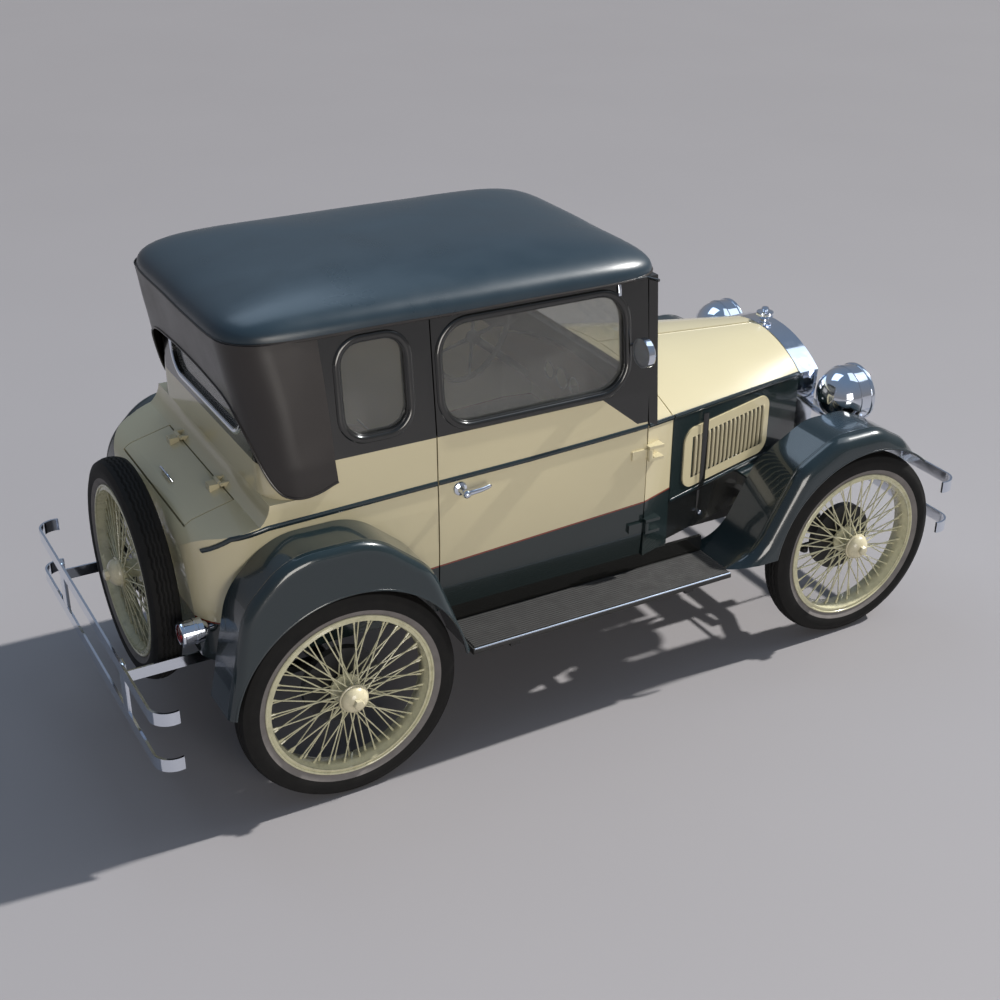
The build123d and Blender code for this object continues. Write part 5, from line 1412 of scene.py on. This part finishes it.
# %% Door furniture
HANDLE_BASE = (
    (0.0, 0.0), (0.0265, 0.0), (0.0275, 0.003), (0.025, 0.008), (0.014, 0.013), (0.0115, 0.020),
    (0.0115, 0.040),
)
HANDLE_BALL = (
    (0.0, -0.0175), (0.0085, -0.0155), (0.0150, -0.0090), (0.0175, 0.0), (0.0150, 0.0090), (0.0085, 0.0155),
    (0.0, 0.0175),
)
GRIP = (
    (-0.572, 0.6450, 1.0602), (-0.545, 0.6500, 1.0615), (-0.500, 0.6490, 1.0635), (-0.458, 0.6400, 1.0665),
)
MIRROR_RIM = (
    (0.050, -0.0215), (0.0555, -0.0215), (0.0565, -0.014), (0.0565, 0.004), (0.054, 0.0075), (0.050, 0.0070),
)
HANDLE_X, HANDLE_Z = -0.565, 1.06


def door_handle():
    """A turned base and ball, and a grip whose section shrinks along it by 28% and closes at its end."""
    line = dense(rounded_line(GRIP, 0.05, 8), 0.005)
    along = np.linspace(0, 1, len(line))[:, None, None]
    section = oval(0.0085, 0.0115, 16) * (1.0 - 0.28 * along) * np.clip(8 * (1 - along) + 0.35, 0, 1)
    return join_grids(
        moved(lathe(HANDLE_BASE, 40, "y"), [HANDLE_X, 0.597, HANDLE_Z]),
        moved(lathe(HANDLE_BALL, 32, "y"), [HANDLE_X, 0.6485, HANDLE_Z]),
        strand(line, section, (0, 1, 0)),
    )


def window_crank():
    """A round boss, an arm and a knob that points into the cabin."""
    crank = join_grids(
        lathe([(0.0, 0.0), (0.020, 0.0), (0.018, 0.008), (0.0, 0.010)], 28, "y"),
        rods([(0.0, 0.007, 0.0)], [(0.070, 0.012, 0.0)], 0.0045, 10),
        rods([(0.070, 0.010, 0.0)], [(0.070, 0.034, 0.0)], 0.0085, 14),
    )
    return moved(crank, [-0.20, 0.560, 1.02], [1, -1, 1])


handle, crank = door_handle(), window_crank()
mirror_rim = moved(lathe(MIRROR_RIM, 56, "x"), [0.177, 0.660, 1.470])
clip_line = ((0.118, 0.5525, 1.712), (0.118, 0.5585, 1.700), (0.118, 0.5605, 1.668))
clip = flat_strip(clip_line, 0.012, 0.004, (1, 0, 0))
for side, sign in SIDES:
    body = side + "_door"
    skin = add_piece(side + "_handle_skin", body, "bright_metal", *on_side(handle, sign))
    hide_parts(side + "_door_handle")
    add_piece(side + "_window_crank", body, "bright_metal", *on_side(crank, sign))
    add_piece(side + "_mirror_rim", body, "bright_metal", *on_side(mirror_rim, sign))
    add_piece(side + "_roof_clip", "chassis", "bright_metal", *on_side(clip, sign))
glass_oval = lathe([(0.0, 0.0), (0.030, 0.0), (0.030, 0.004), (0.0, 0.005)], 40, "x")
mirror_stem = rods([(0.210, 0, 1.64)], [(0.262, 0, 1.69)], 0.004, 10)
inner_mirror = join_grids(moved(glass_oval, [0.205, 0.0, 1.640], [1, 2.6, 1]), mirror_stem)
add_piece("cabin_mirror", "chassis", "bright_metal", *inner_mirror)
print("pieces so far:", len(pieces))

# %% Bolts of the running gear, and the lid's handle
FRAME_BOLTS = [(x, 0.4002, z) for x in (-1.46, -1.25, -0.42, 0.38, 1.245) for z in (0.518, 0.562)]
ARM_BOLTS = [(x, 0.4082, z) for x, z in ((1.395, 0.545), (1.460, 0.545), (-1.375, 0.528), (-1.455, 0.528))]
BOARD_BOLTS = [(x, y, 0.4348) for x in (-0.42, 0.38) for y in (0.60, 0.74)]
for name, finish_name, places, way, size, tall in (
    ("frame_bolts", "chassis_black", FRAME_BOLTS, (0, 1, 0), 0.010, 0.007),
    ("arm_bolts", "bright_metal", ARM_BOLTS, (0, 1, 0), 0.011, 0.008),
    ("board_bolts", "chassis_black", BOARD_BOLTS, (0, 0, -1), 0.010, 0.007),
):
    add_piece(name, "chassis", finish_name, *both_sides(*bolts(places, way, size, tall)))
LID_GRIP = ((-1.452, -0.055, 1.058), (-1.463, -0.045, 1.080), (-1.463, 0.045, 1.080), (-1.452, 0.055, 1.058))
lid_line = dense(rounded_line(LID_GRIP, 0.014, 8), 0.004)
add_piece("lid_handle", "deck_lid", "bright_metal", *strand(lid_line, circle(0.0052, 12), (1, 0, 0)))
print("pieces in all:", len(pieces))
